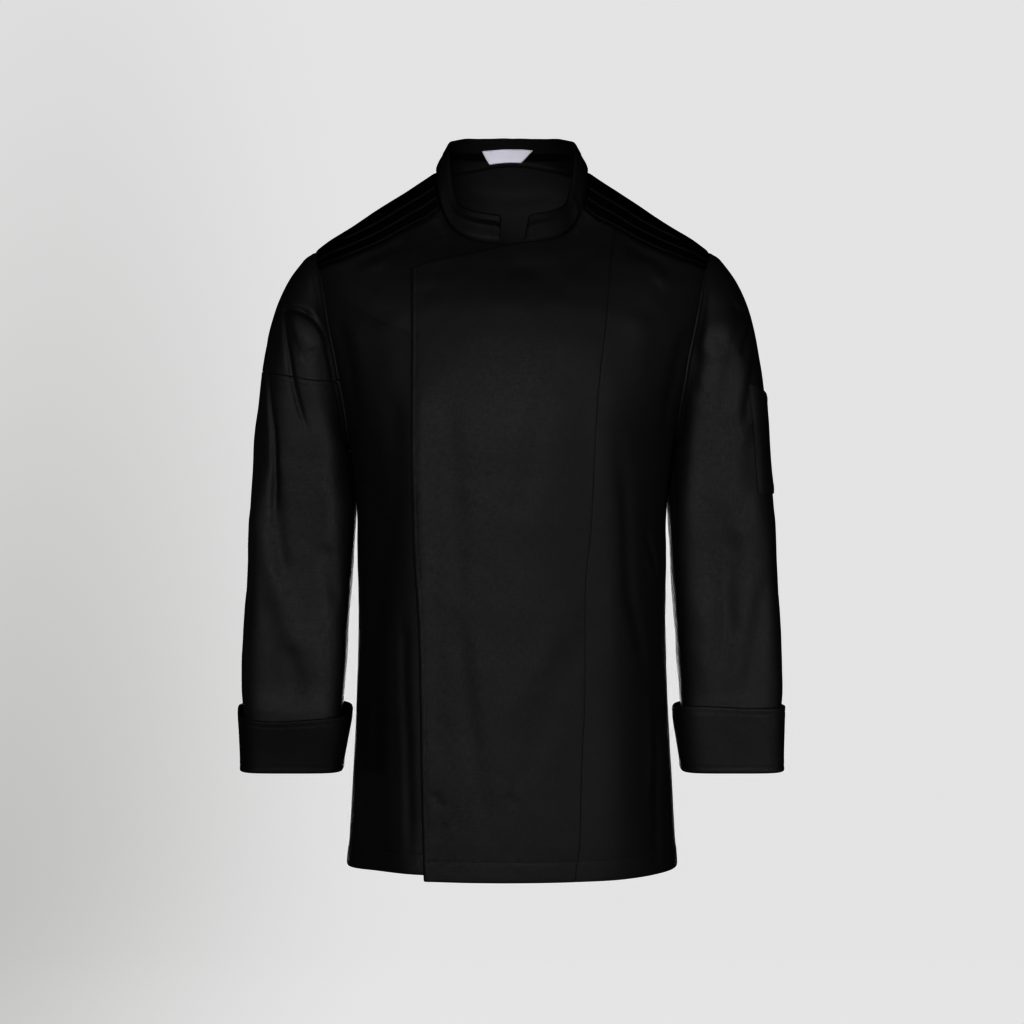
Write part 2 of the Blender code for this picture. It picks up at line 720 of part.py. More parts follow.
def sleeve_outside(angle, place):
    """The sleeve's surface. Place runs from 0 at the armhole, through 1 where the cap ends, to 2 at its end.

    The cap is a curve of four control points at each angle. It leaves the armhole outwards over the top and
    downwards below, and comes upright into the level rings.
    """
    angle, place = np.broadcast_arrays(np.asarray(angle, float), np.asarray(place, float))
    seam = armhole(angle)
    cosine, sine = np.cos(angle), np.sin(angle)
    upwards = -0.33 + 0.2 * cosine - 0.41 * cosine**2
    leaving = unit(np.stack([0.6 + 0.25 * cosine, -0.5 * sine, upwards], axis=-1))
    off_seam = 1.5 * SEAM_GAP * leaving
    off_trunk = UNDERARM_CLEAR * (1 - cosine[..., None]) / 2 * body_normal(seam[..., 0], seam[..., 1])
    start = body_outside(seam[..., 0], seam[..., 1]) + off_seam + off_trunk
    end = sleeve_ring(angle, np.full(angle.shape, CAP_END))
    first = start + (CAP_PULL + CAP_PULL_CHANGE * cosine)[..., None] * leaving
    second = end + (CAP_DROP + CAP_DROP_CHANGE * cosine)[..., None] * CAP_UPRIGHT
    t = np.clip(place, 0, 1)[..., None]
    cap = (1 - t) ** 3 * start + 3 * t * (1 - t) ** 2 * first + 3 * t * t * (1 - t) * second + t**3 * end
    down = CAP_END + (SLEEVE_END - CAP_END) * np.clip(place - 1, 0, None)
    return np.where(place[..., None] <= 1, cap, sleeve_ring(angle, down))


def sleeve_point(angle, place, out=0.0):
    small = 1e-4
    by_angle = sleeve_outside(angle + small, place) - sleeve_outside(angle - small, place)
    before = np.maximum(place - small, 0)
    by_place = sleeve_outside(angle, place + small) - sleeve_outside(angle, before)
    normal = unit(np.cross(by_angle, by_place))
    return sleeve_outside(angle, place) + np.asarray(out, float)[..., None] * normal


def place_at(angle, height):
    """The place along the sleeve that lies at a height."""
    low = np.zeros(np.shape(angle))
    high = np.full(np.shape(angle), 2.0)
    for _ in range(40):
        middle = (low + high) / 2
        above = sleeve_outside(angle, middle)[..., 2] > height
        low = np.where(above, middle, low)
        high = np.where(above, high, middle)
    return (low + high) / 2


def sleeve_shell(angles, places, round_and_round):
    angle = np.broadcast_to(angles, places.shape)
    return shell(sleeve_point(angle, places), sleeve_point(angle, places, -WALL), round_and_round)


SLEEVE_ANGLES = ARMHOLE_ANGLES[:-1]
CAP_PLACES = np.linspace(0, 1, CAP_ROWS + 1)
LOWER_PLACES = np.linspace(1, 2, SLEEVE_ROWS + 1)[1:]


def sleeve_left():
    places = np.concatenate([CAP_PLACES, LOWER_PLACES])[:, None]
    return sleeve_shell(SLEEVE_ANGLES[None, :], np.repeat(places, ARMHOLE_STEPS, axis=1), True)


def level_seam(angle):
    """The height of the seam across the right sleeve."""
    return LEVEL_SEAM_HEIGHT - LEVEL_SEAM_DROP * eased((1 - np.cos(angle)) / (1 - math.cos(LEVEL_SEAM_TIP)))


def level_seam_place(angle):
    """The level seam's place along the sleeve, or 0 where it is above the armhole."""
    return place_at(angle, level_seam(angle))


def sleeve_right_upper():
    inner_angles = ARMHOLE_ANGLES[1 : ARMHOLE_STEPS // 4 + 1]
    angles = np.concatenate([-inner_angles[::-1], [0.0], inner_angles])
    angles = np.concatenate([[-LEVEL_SEAM_TIP], angles, [LEVEL_SEAM_TIP]])
    length = level_seam_place(angles) - LEVEL_SEAM_GAP_UP
    places = np.linspace(0, 1, 5)[:, None] * length[None, :]
    return mirror_solid(sleeve_shell(angles[None, :], places, False))


def sleeve_right_lower():
    start = level_seam_place(SLEEVE_ANGLES) + LEVEL_SEAM_GAP_DOWN
    at_armhole = start < 2 * LEVEL_SEAM_GAP_UP
    start = np.where(at_armhole, 0.0, start)
    cap = start[None, :] + (1 - start[None, :]) * np.linspace(0, 1, CAP_ROWS - 1)[:, None]
    lower = np.repeat(LOWER_PLACES[:, None], ARMHOLE_STEPS, axis=1)
    return mirror_solid(sleeve_shell(SLEEVE_ANGLES[None, :], np.concatenate([cap, lower]), True))


def cuff(side):
    """A turned-back cuff: a wall round the sleeve with a folded lip under the sleeve's end."""
    at_front = np.clip(np.sin(SLEEVE_ANGLES), 0, None) ** 2
    tops = CUFF_TOP - CUFF_DIP[side] * at_front
    fold_top = SLEEVE_END - SEAM_GAP
    flare_start = SLEEVE_END + CUFF_FLARE_START
    far = CUFF_NEAR + CUFF_WALL
    sections = []
    for angle, top in zip(SLEEVE_ANGLES, tops):
        profile = (
            (-CUFF_INNER_LIP, fold_top),
            (CUFF_NEAR, fold_top),
            (CUFF_NEAR, flare_start),
            (CUFF_FLARE, top),
            (CUFF_FLARE + CUFF_WALL, top),
            (far, flare_start),
            (far, CUFF_BOTTOM + CUFF_ROUNDING),
            (far - CUFF_ROUNDING, CUFF_BOTTOM),
            (CUFF_ROUNDING / 2 - CUFF_INNER_LIP, CUFF_BOTTOM),
            (-CUFF_INNER_LIP, CUFF_BOTTOM + CUFF_ROUNDING / 2),
        )
        sections.append([ring_offset(angle, height, away) for away, height in profile])
    return swept(np.array(sections))


def ring_offset(angle, height, away):
    """A point level with a sleeve ring, this far outside it."""
    small = 1e-4
    height = np.asarray(height, float)
    along = sleeve_ring(angle + small, height) - sleeve_ring(angle - small, height)
    outward = unit(np.array([-along[1], along[0], 0.0]))
    if outward[0] * math.cos(angle) - outward[1] * math.sin(angle) < 0:
        outward = -outward
    return sleeve_ring(angle, height) + away * outward


def pen_pocket():
    """A narrow pocket on the left sleeve, its top edge sloping down to the outside."""
    steps = np.arange(POCKET_FIRST_STEP, POCKET_LAST_STEP - 1, -1)
    angles = steps * ARMHOLE_ANGLES[1]
    tops = POCKET_TOP - POCKET_SLOPE * (POCKET_FIRST_STEP - steps)
    rows = np.linspace(0, 1, 7)[:, None]
    heights = POCKET_BOTTOM + (tops[None, :] - POCKET_BOTTOM) * rows
    angle = np.broadcast_to(angles[None, :], heights.shape)
    places = place_at(angle, heights)
    outer = sleeve_point(angle, places, POCKET_CLEAR + POCKET_WALL)
    return shell(outer, sleeve_point(angle, places, POCKET_CLEAR))


def plain_material(name, colour, roughness):
    material = bpy.data.materials.new(name)
    material.use_nodes = True
    surface = material.node_tree.nodes["Principled BSDF"]
    surface.inputs["Base Color"].default_value = colour
    surface.inputs["Roughness"].default_value = roughness
    surface.inputs["Metallic"].default_value = 0.0
    return material


def main():
    for thing in list(bpy.data.objects):
        bpy.data.objects.remove(thing)
    cloth = plain_material("black_cloth", CLOTH_BLACK, 0.75)
    tape = plain_material("black_tape", TAPE_BLACK, 0.85)
    label = plain_material("pale_label", LABEL_GREY, 0.6)

    add_solid("over_front", over_front(), cloth)
    add_solid("side_front_left", side_front_left(), cloth)
    add_solid("under_front", under_front(), cloth)
    add_solid("back_panel", back_panel(), cloth)
    strip = shoulder_grid()
    add_solid("shoulder_left", body_shell(strip), cloth)
    add_solid("shoulder_right", mirror_solid(body_shell(strip)), cloth)
    for number, ridge in enumerate(PIPINGS, start=1):
        add_solid(f"piping_left_{number}", piping(strip, ridge), cloth)
        add_solid(f"piping_right_{number}", mirror_solid(piping(strip, ridge)), cloth)
    add_solid("collar", collar(), cloth)
    add_solid("neck_tape", neck_tape(), tape)
    add_solid("neck_label", neck_label(), label)
    add_solid("sleeve_left", sleeve_left(), cloth)
    add_solid("sleeve_right_upper", sleeve_right_upper(), cloth)
    add_solid("sleeve_right_lower", sleeve_right_lower(), cloth)
    add_solid("cuff_left", cuff("left"), cloth)
    add_solid("cuff_right", mirror_solid(cuff("right")), cloth)
    add_solid("pen_pocket", pen_pocket(), cloth)


main()
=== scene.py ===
"""Chef jacket, filled out as it is worn, with nobody inside: its cloth, seams, stitching, light and camera.

Frame: metres, +Z up. The front faces -Y and the wearer's left is at +X. The origin is the middle of the
neck opening. A point of the trunk has a turn, the angle about +Z that is 0 at the front and grows towards
the wearer's left, and a height. A point of a sleeve has an angle round it, 0 on the outside and a quarter
turn at the front, and a place, 0 at the armhole, 1 where the cap ends and 2 at its end. Each panel is a
fine grid on those surfaces, moved in and out by its folds, and closed into a thin wall with rounded edges.
"""

import math
from collections import namedtuple
from functools import partial

import bpy
import mathutils
import numpy as np
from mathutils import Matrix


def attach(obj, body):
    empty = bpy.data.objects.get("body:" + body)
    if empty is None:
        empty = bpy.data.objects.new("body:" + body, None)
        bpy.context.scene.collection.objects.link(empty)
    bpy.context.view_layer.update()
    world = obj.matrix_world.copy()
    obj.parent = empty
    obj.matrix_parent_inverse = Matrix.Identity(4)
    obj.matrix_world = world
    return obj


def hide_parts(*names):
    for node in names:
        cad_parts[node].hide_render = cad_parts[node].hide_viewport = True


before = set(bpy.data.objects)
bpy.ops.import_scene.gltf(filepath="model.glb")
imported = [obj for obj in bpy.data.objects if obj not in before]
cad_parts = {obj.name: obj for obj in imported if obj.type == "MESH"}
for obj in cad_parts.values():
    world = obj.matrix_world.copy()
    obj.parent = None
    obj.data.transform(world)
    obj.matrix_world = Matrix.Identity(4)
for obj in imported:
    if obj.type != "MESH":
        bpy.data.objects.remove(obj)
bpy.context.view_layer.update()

HALF_TURN = math.pi
SIDE_TURN = math.pi / 2

# Cloth: one layer, and the doubled layers at the collar, the cuffs and a folded edge
CLOTH = 0.0013
FOLDED_CLOTH = 0.0022
COLLAR_CLOTH = 0.0030
CUFF_CLOTH = 0.0028
SEAM_DIP = 0.00055
SEAM_WIDTH = 0.0016
STITCH_DIP = 0.00035
STITCH_GROOVE = 0.0011

# Trunk
HEM_HEIGHT = -0.730
HEM_FOLD = 0.020
UNDER_HEM_RISE = 0.0060
UNDER_FRONT_REACH = 0.040
UNDER_FRONT_TOP = -0.0865
OVERLAP_LIFT = 0.0030

# Neck opening, in plan
NECK_HALF_WIDTH = 0.080
NECK_FRONT = 0.058
NECK_BACK = 0.062
NECK_FRONT_SQUARENESS = 2.8
NECK_BACK_SQUARENESS = 2.2
NOTCH_HALF_WIDTH = 0.013
NOTCH_HEIGHT = -0.076
NECK_LOWEST = -0.12
COLLAR_SEAT = 0.0005
COLLAR_END_SLANT = math.radians(5)

# Armhole, seen from the side
ARMHOLE_MIDDLE = 0.002
ARMHOLE_HEIGHT = -0.188
ARMHOLE_HALF_WIDTH = 0.046
ARMHOLE_HALF_HEIGHT = 0.104
YOKE_ANGLE = math.radians(36)

# Sleeve
CAP_END = -0.300
SLEEVE_END = -0.6240
SLEEVE_SQUARENESS = 4.7
CAP_SQUARENESS = 3.4
CAP_PULL = 0.028
CAP_PULL_CHANGE = 0.022
CAP_DROP = 0.066
CAP_DROP_CHANGE = 0.064
CAP_UPRIGHT = np.array([-0.06, 0.0, 1.0]) / math.hypot(0.06, 1.0)
UNDERARM_CLEAR = 0.00075
LEVEL_SEAM_HEIGHT = -0.2095
LEVEL_SEAM_DROP = 0.0093
LEVEL_SEAM_TIP = math.radians(104)

BodyRing = namedtuple("BodyRing", "height half_width front back squareness")
BODY_RINGS = (
    BodyRing(0.030, 0.040, 0.012, 0.042, 2.1),
    BodyRing(0.013, 0.062, 0.018, 0.062, 2.1),
    BodyRing(0.000, 0.080, 0.024, 0.073, 2.1),
    BodyRing(-0.020, 0.111, 0.031, 0.086, 2.1),
    BodyRing(-0.038, 0.139, 0.038, 0.093, 2.1),
    BodyRing(-0.054, 0.163, 0.045, 0.098, 2.1),
    BodyRing(-0.075, 0.196, 0.058, 0.104, 2.1),
    BodyRing(-0.086, 0.208, 0.066, 0.107, 2.1),
    BodyRing(-0.100, 0.212, 0.076, 0.111, 2.1),
    BodyRing(-0.120, 0.2105, 0.089, 0.116, 2.15),
    BodyRing(-0.155, 0.2055, 0.105, 0.123, 2.2),
    BodyRing(-0.194, 0.195, 0.117, 0.127, 2.2),
    BodyRing(-0.250, 0.1795, 0.127, 0.128, 2.3),
    BodyRing(-0.292, 0.171, 0.129, 0.126, 2.35),
    BodyRing(-0.330, 0.166, 0.129, 0.124, 2.4),
    BodyRing(-0.367, 0.163, 0.129, 0.123, 2.4),
    BodyRing(-0.453, 0.1625, 0.130, 0.122, 2.4),
    BodyRing(-0.558, 0.1645, 0.133, 0.126, 2.4),
    BodyRing(-0.632, 0.1685, 0.136, 0.130, 2.4),
    BodyRing(-0.730, 0.175, 0.140, 0.136, 2.4),
)

SleeveRing = namedtuple("SleeveRing", "height middle_x half_width middle_y half_depth")
SLEEVE_RINGS = (
    SleeveRing(-0.300, 0.2196, 0.0513, 0.004, 0.060),
    SleeveRing(-0.330, 0.2197, 0.0537, 0.003, 0.060),
    SleeveRing(-0.350, 0.2199, 0.0551, 0.0025, 0.0595),
    SleeveRing(-0.367, 0.2212, 0.0553, 0.002, 0.059),
    SleeveRing(-0.410, 0.2234, 0.0549, 0.000, 0.057),
    SleeveRing(-0.495, 0.2282, 0.0548, -0.008, 0.051),
    SleeveRing(-0.545, 0.2306, 0.0532, -0.013, 0.047),
    SleeveRing(-0.565, 0.2308, 0.0520, -0.0160, 0.0460),
    SleeveRing(-0.640, 0.2324, 0.0504, -0.0175, 0.0405),
)

SeamPoint = namedtuple("SeamPoint", "height x")
OVERLAP_EDGE = (
    SeamPoint(-0.730, -0.089),
    SeamPoint(-0.660, -0.091),
    SeamPoint(-0.536, -0.0925),
    SeamPoint(-0.450, -0.095),
    SeamPoint(-0.385, -0.099),
    SeamPoint(-0.180, -0.103),
    SeamPoint(-0.1024, -0.104),
)
OVERLAP_TOP = (
    SeamPoint(-0.1024, -0.104),
    SeamPoint(-0.0957, -0.086),
    SeamPoint(-0.0894, -0.057),
    SeamPoint(-0.0843, -0.0332),
    SeamPoint(-0.0798, -0.0134),
)
PRINCESS_SEAM = (
    SeamPoint(-0.730, 0.0643),
    SeamPoint(-0.687, 0.0694),
    SeamPoint(-0.612, 0.0715),
    SeamPoint(-0.537, 0.0745),
    SeamPoint(-0.442, 0.0750),
    SeamPoint(-0.359, 0.0813),
    SeamPoint(-0.2425, 0.087),
    SeamPoint(-0.155, 0.0969),
    SeamPoint(-0.113, 0.1006),
    SeamPoint(-0.060, 0.1065),
)
YOKE_SEAM = (
    SeamPoint(-0.040, 0.0745),
    SeamPoint(-0.052, 0.089),
    SeamPoint(-0.062, 0.110),
    SeamPoint(-0.075, 0.133),
    SeamPoint(-0.0855, 0.157),
    SeamPoint(-0.093, 0.175),
)

CollarColumn = namedtuple("CollarColumn", "turn rise lean")
COLLAR_COLUMNS = (
    CollarColumn(math.radians(0), 0.0255, 0.002),
    CollarColumn(math.radians(30), 0.0275, 0.004),
    CollarColumn(math.radians(45), 0.0260, 0.007),
    CollarColumn(math.radians(58), 0.0210, 0.010),
    CollarColumn(math.radians(75), 0.0245, 0.0115),
    CollarColumn(math.radians(90), 0.0255, 0.0115),
    CollarColumn(math.radians(110), 0.0320, 0.0105),
    CollarColumn(math.radians(125), 0.0325, 0.0095),
    CollarColumn(math.radians(145), 0.0285, 0.0085),
    CollarColumn(math.radians(160), 0.0257, 0.0075),
    CollarColumn(math.radians(180), 0.0240, 0.0070),
)

# Each ridge across the shoulder strip, from the strip's front seam at 0 to the shoulder line at 1, and how
# far it runs from the collar towards the armhole
Piping = namedtuple("Piping", "place_at_neck place_at_arm reach")
PIPINGS = (
    Piping(0.06, 0.10, 1.0),
    Piping(0.28, 0.30, 1.0),
    Piping(0.51, 0.53, 0.74),
)
PIPING_RADIUS = 0.0016

# The share of a front fold's depth that is kept
TRUNK_FOLD_SHARE = 0.55
SLEEVE_FOLD_SHARE = 0.6

# A fold is a soft trough, or a ridge where its depth is below 0, along a path of (x, height) points on the
# front or the back. Lip is the share of its depth that stands up beside it, on the side of the wearer's left
# where it is above 0.
Fold = namedtuple("Fold", "path width depth lip")


def fold(width, depth, lip, *path):
    """A fold whose sizes and path are given in millimetres."""
    return Fold([(x / 1000, height / 1000) for x, height in path], width / 1000, depth / 1000, lip)


# Where the front turns to the sides
TRUNK_TURNS = (
    fold(23, -4.5, 0, (-101, -160), (-100, -400), (-102, -600), (-104, -850)),
    fold(24, -3.4, 0, (106, -160), (104, -400), (103, -600), (103, -850)),
    fold(24, 5, 0, (-146, -200), (-142, -400), (-146, -600), (-150, -850)),
    fold(24, 1.6, 0, (150, -200), (146, -400), (150, -600), (154, -850)),
)
TRUNK_FRONT_FOLDS = (
    # the wearer's right front, beside the overlap and towards the armhole
    fold(5.5, 4, 0, (-110, -440), (-109, -520), (-105, -620), (-103, -735)),
    fold(12, -3, 0, (-108, -400), (-127, -490), (-129, -600), (-127, -735)),
    fold(14, 4, 0, (-122, -225), (-119, -300), (-124, -360), (-137, -440)),
    fold(16, -2.6, 0, (-128, -145), (-125, -190), (-121, -235)),
    fold(11, 3.8, 0, (-186, -140), (-170, -200), (-160, -270)),
    fold(9, 2.8, -0.4, (-150, -470), (-156, -560), (-158, -660), (-160, -735)),
    fold(8, -1.6, 0, (-155, -94), (-130, -98)),
    fold(8, 2.2, 0, (-110, -73), (-140, -88), (-168, -101)),
    fold(3, -2.2, 0, (-77, -45), (-73.5, -56), (-70, -67)),
    # the overlap
    fold(9, -1.3, 0, (-95, -180), (-90, -400), (-84, -600), (-78, -735)),
    fold(11, 1.9, 0.3, (-67, -215), (-60, -300), (-54, -400), (-55, -470)),
    fold(10, 2.6, 0.5, (-55, -440), (-46, -545), (-34, -625), (-22, -715)),
    fold(12, 1.7, 0, (34, -225), (20, -290), (7, -370)),
    fold(15, -1.6, 0, (76, -410), (50, -470), (10, -530), (-14, -590)),
    fold(13, 1.4, 0.4, (80, -465), (50, -522), (27, -580), (3, -650)),
    fold(4.5, 1.6, -0.5, (-80, -638), (-71, -656)),
    fold(6, 1.2, 0.4, (-66, -668), (-80, -690)),
    fold(5, 1.2, 0.4, (-6, -638), (5, -653)),
    fold(12, 1.4, 0, (-6, -95), (30, -112), (60, -128)),
    fold(9, 1.2, 0.3, (-90, -118), (-70, -135), (-52, -158)),
    # the wearer's left side front
    fold(9, 3.6, -0.3, (105, -255), (116, -340), (119, -420), (131, -480), (143, -550)),
    fold(9, -1.8, 0, (96, -420), (102, -470), (105, -520)),
    fold(5, 2.4, 0.4, (138, -370), (147, -400), (153, -432)),
    fold(4, 1.6, 0.4, (134, -404), (146, -426)),
    fold(6, -2.6, 0, (143, -540), (144.5, -600), (143, -670)),
    fold(6, 3, 0, (151.5, -560), (153, -630), (151, -735)),
    fold(16, -2.6, 0, (134, -140), (132, -190), (128, -240)),
    fold(11, 4.2, 0, (184, -160), (168, -220), (158, -290)),
    fold(8, 2.4, 0, (112, -74), (140, -88), (170, -103)),
    fold(3.4, -2.2, 0, (72.5, -44), (69, -56), (66, -68)),
    fold(10, -1.6, 0, (160, -108), (148, -116)),
)
TRUNK_BACK_FOLDS = (
    fold(14, 3.2, 0.5, (-75, -200), (-86, -330), (-71, -500), (-76, -735)),
    fold(13, 3, -0.5, (52, -270), (70, -420), (59, -600), (68, -735)),
    fold(16, 2.6, 0.4, (0, -350), (-13, -500), (4, -700)),
    fold(10, 3.4, 0.4, (-170, -165), (-134, -220), (-98, -248)),
    fold(9.5, 3, -0.4, (172, -178), (137, -235), (108, -278)),
    fold(10, 2.6, 0.4, (-148, -235), (-120, -290), (-112, -350)),
    fold(8, 1.6, 0, (-60, -16), (0, -24), (56, -17)),
    fold(8, 2.2, 0.3, (-134, -380), (-102, -412), (-60, -420)),
    fold(7.5, 2, 0.3, (138, -396), (106, -430), (70, -436)),
    fold(12, 3.4, -0.4, (-128, -500), (-138, -600), (-134, -735)),
    fold(12, 3.2, 0.4, (126, -470), (137, -580), (130, -735)),
    fold(15, 1.8, 0, (12, -150), (18, -210), (6, -280)),
    fold(10, 2, 0.4, (-40, -560), (-32, -640), (-36, -735)),
)
# Sleeve folds give x as the distance from the jacket's middle
RIGHT_SLEEVE_FRONT_FOLDS = (
    fold(3.4, 6.8, 0,
        (231, -141), (213, -149), (201, -163), (193, -179), (188.5, -198), (184, -218), (179, -241),
        (172, -271), (168.5, -310)),
    fold(3.6, 6, 0, (244, -144), (233, -144), (220, -146), (208, -155)),
    fold(2.8, 5, 0,
        (242, -130), (239.5, -147), (235.5, -171), (231, -197), (227.5, -220), (220.5, -248), (210, -280)),
    fold(3.4, 6.6, 0,
        (260, -170), (257.5, -195), (255, -222), (251.5, -250), (248, -275), (247, -310), (247.5, -375)),
    fold(10, -3.6, 0, (266, -220), (269, -330), (269, -420), (264, -500)),
    fold(8, 4, 0, (247, -300), (246, -340), (244, -380), (235, -440)),
    fold(10, 2, 0, (235, -490), (225, -530), (220, -570)),
    fold(12, -3.5, 0, (191, -235), (188, -300), (187, -370), (189, -440)),
    fold(15, -4, 0, (220, -156), (212, -180), (205, -215), (196, -255)),
    fold(21, -8.5, 0, (238, -166), (220, -160), (202, -168), (190, -195)),
    fold(9, -0.8, 0, (243, -205), (238, -245), (230, -300)),
    fold(14, -3.4, 0, (264, -360), (250, -420), (232, -475), (213, -525)),
    fold(8, 3, 0, (193.5, -385), (187, -425), (180, -462)),
    fold(12, 1, 0, (256, -440), (250, -500), (238, -560)),
    fold(4, 1.2, 0, (204, -190), (220, -197)),
)
LEFT_SLEEVE_FRONT_FOLDS = (
    fold(21, -5, 0, (238, -172), (220, -166), (202, -174), (190, -200)),
    fold(12, -2.8, 0, (195, -180), (186, -260), (185, -340), (189, -420)),
    fold(12, -2.4, 0, (238, -180), (246, -250), (250, -330), (252, -420)),
    fold(7.5, 2.2, 0, (196, -175), (192, -205), (189, -240)),
    fold(8, 2.2, 0, (229, -185), (225, -215), (218, -250)),
    fold(10, 2.2, 0, (223, -340), (218, -400), (221, -470), (216, -540)),
    fold(8.5, 2.8, 0, (244, -270), (245, -320), (240, -380)),
    fold(8, 3.2, 0, (246, -220), (251, -290), (253, -360)),
    fold(4.8, 2.8, 0, (227, -139), (238, -146), (250, -154)),
    fold(4.8, 2.8, -0.4, (251, -162), (245, -177), (239, -196)),
    fold(5.8, 3.2, -0.3, (256, -188), (248, -222), (244, -250), (239, -275)),
    fold(9, 2.6, 0.3, (234, -370), (225, -430), (229, -500)),
    fold(10, 3.4, -0.3, (268, -410), (253, -500), (242, -570)),
    fold(5.5, 3, 0, (170.5, -285), (169.5, -330), (170.5, -400)),
    fold(12, -2.2, 0, (200, -440), (203, -500), (207, -570)),
    fold(7, 2.6, 0.3, (195, -150), (190, -190), (183, -240)),
)
SLEEVE_BACK_FOLDS = (
    fold(7, 3.6, 0.3, (186, -352), (214, -372), (246, -366)),
    fold(6.5, 3, 0.3, (190, -396), (220, -408), (252, -398)),
    fold(6, 2, 0, (196, -330), (220, -338), (240, -330)),
    fold(10, 3.6, 0.4, (200, -140), (214, -200), (222, -275)),
    fold(10, 3, -0.3, (240, -160), (246, -230), (240, -310)),
    fold(11, 2.6, 0.4, (214, -440), (222, -510), (214, -570)),
    fold(8, 2.6, 0.3, (180, -240), (186, -290), (192, -330)),
)


def smooth_curve(places, values):
    """A smooth line through a table's rows that never swings past them."""
    order = np.argsort(places)
    x = np.asarray(places, float)[order]
    y = np.asarray(values, float)[order]
    step = np.diff(x)
    rise = np.diff(y) / step
    slope = np.zeros(len(x))
    slope[0] = rise[0]
    slope[-1] = rise[-1]
    same = rise[:-1] * rise[1:] > 0
    before = 2 * step[1:] + step[:-1]
    after = step[1:] + 2 * step[:-1]
    with np.errstate(divide="ignore", invalid="ignore"):
        mean = (before + after) / (before / rise[:-1] + after / rise[1:])
    slope[1:-1] = np.where(same, mean, 0.0)

    def value(place):
        place = np.clip(np.asarray(place, float), x[0], x[-1])
        i = np.clip(np.searchsorted(x, place) - 1, 0, len(step) - 1)
        t = (place - x[i]) / step[i]
        start = (1 + 2 * t) * (1 - t) ** 2 * y[i] + t * (1 - t) ** 2 * step[i] * slope[i]
        end = t * t * (3 - 2 * t) * y[i + 1] - t * t * (1 - t) * step[i] * slope[i + 1]
        return start + end

    return value


def column(table, place, name):
    return smooth_curve([getattr(row, place) for row in table], [getattr(row, name) for row in table])


body_half_width = column(BODY_RINGS, "height", "half_width")
body_front = column(BODY_RINGS, "height", "front")
body_back = column(BODY_RINGS, "height", "back")
body_squareness = column(BODY_RINGS, "height", "squareness")
collar_rise = column(COLLAR_COLUMNS, "turn", "rise")
collar_lean = column(COLLAR_COLUMNS, "turn", "lean")
sleeve_middle_x = column(SLEEVE_RINGS, "height", "middle_x")
sleeve_half_width = column(SLEEVE_RINGS, "height", "half_width")
sleeve_middle_y = column(SLEEVE_RINGS, "height", "middle_y")
sleeve_half_depth = column(SLEEVE_RINGS, "height", "half_depth")


def unit(vectors):
    return vectors / np.maximum(np.linalg.norm(vectors, axis=-1, keepdims=True), 1e-12)


def eased(value):
    value = np.clip(value, 0, 1)
    return value * value * (3 - 2 * value)


# The trunk's surface


def body_radius(turn, height):
    across = np.abs(np.sin(turn)) / body_half_width(height)
    depth = np.where(np.cos(turn) > 0, body_front(height), body_back(height))
    along = np.abs(np.cos(turn)) / depth
    power = body_squareness(height)
    return (across**power + along**power) ** (-1 / power)


def body_outside(turn, height):
    turn, height = np.broadcast_arrays(np.asarray(turn, float), np.asarray(height, float))
    radius = body_radius(turn, height)
    return np.stack([radius * np.sin(turn), -radius * np.cos(turn), height], axis=-1)


def body_normal(turn, height):
    small_turn, small_height = 1e-3, 1e-4
    by_turn = body_outside(turn + small_turn, height) - body_outside(turn - small_turn, height)
    by_height = body_outside(turn, height + small_height) - body_outside(turn, height - small_height)
    return unit(np.cross(by_turn, by_height))


def front_turn(x, height):
    """The turn at which the front of the trunk has this x."""
    power = body_squareness(height)
    reach = np.clip(1 - (np.abs(x) / body_half_width(height)) ** power, 0, None)
    return np.arctan2(x, body_front(height) * reach ** (1 / power))


def side_turn(y, height):
    """The turn at which the wearer's left side of the trunk has this y."""
    power = body_squareness(height)
    depth = np.where(y < 0, body_front(height), body_back(height))
    x = body_half_width(height) * (1 - (np.abs(y) / depth) ** power) ** (1 / power)
    return np.arctan2(x, -y)


# Seams, each as rows of (turn, height)


def armhole(angles):
    """The wearer's left armhole, from its top at 0, down its front to the underarm at a half turn."""
    y = ARMHOLE_MIDDLE - ARMHOLE_HALF_WIDTH * np.sin(angles)
    height = ARMHOLE_HEIGHT + ARMHOLE_HALF_HEIGHT * np.cos(angles)
    return np.stack([side_turn(y, height), height], axis=-1)


def neck_height(turn):
    """The height of the neck seam, where the trunk's surface meets the neck opening's plan."""
    front = np.cos(turn) > 0
    across = np.abs(np.sin(turn)) / NECK_HALF_WIDTH
    along = np.abs(np.cos(turn)) / np.where(front, NECK_FRONT, NECK_BACK)
    power = np.where(front, NECK_FRONT_SQUARENESS, NECK_BACK_SQUARENESS)
    wanted = (across**power + along**power) ** (-1 / power)
    low = np.full(np.shape(turn), NECK_LOWEST)
    high = np.full(np.shape(turn), BODY_RINGS[0].height)
    for _ in range(40):
        middle = (low + high) / 2
        outside = body_radius(turn, middle) > wanted
        low = np.where(outside, middle, low)
        high = np.where(outside, high, middle)
    return (low + high) / 2


def neck_seam(turns):
    turns = np.asarray(turns, float)
    return np.stack([turns, neck_height(turns)], axis=-1)


def front_seam(table, count=160):
    places = np.linspace(0, 1, count)
    steps = np.linspace(0, 1, len(table))
    heights = smooth_curve(steps, [row.height for row in table])(places)
    across = smooth_curve(steps, [row.x for row in table])(places)
    return np.stack([front_turn(across, heights), heights], axis=-1)


def lengths_along(seam):
    steps = np.linalg.norm(np.diff(body_outside(seam[:, 0], seam[:, 1]), axis=0), axis=1)
    return np.concatenate([[0], np.cumsum(steps)])


def spread(seam, fractions):
    """A seam's points moved so that they lie at these fractions of its length."""
    along = lengths_along(seam)
    return np.stack([np.interp(fractions, along / along[-1], seam[:, i]) for i in range(2)], axis=-1)


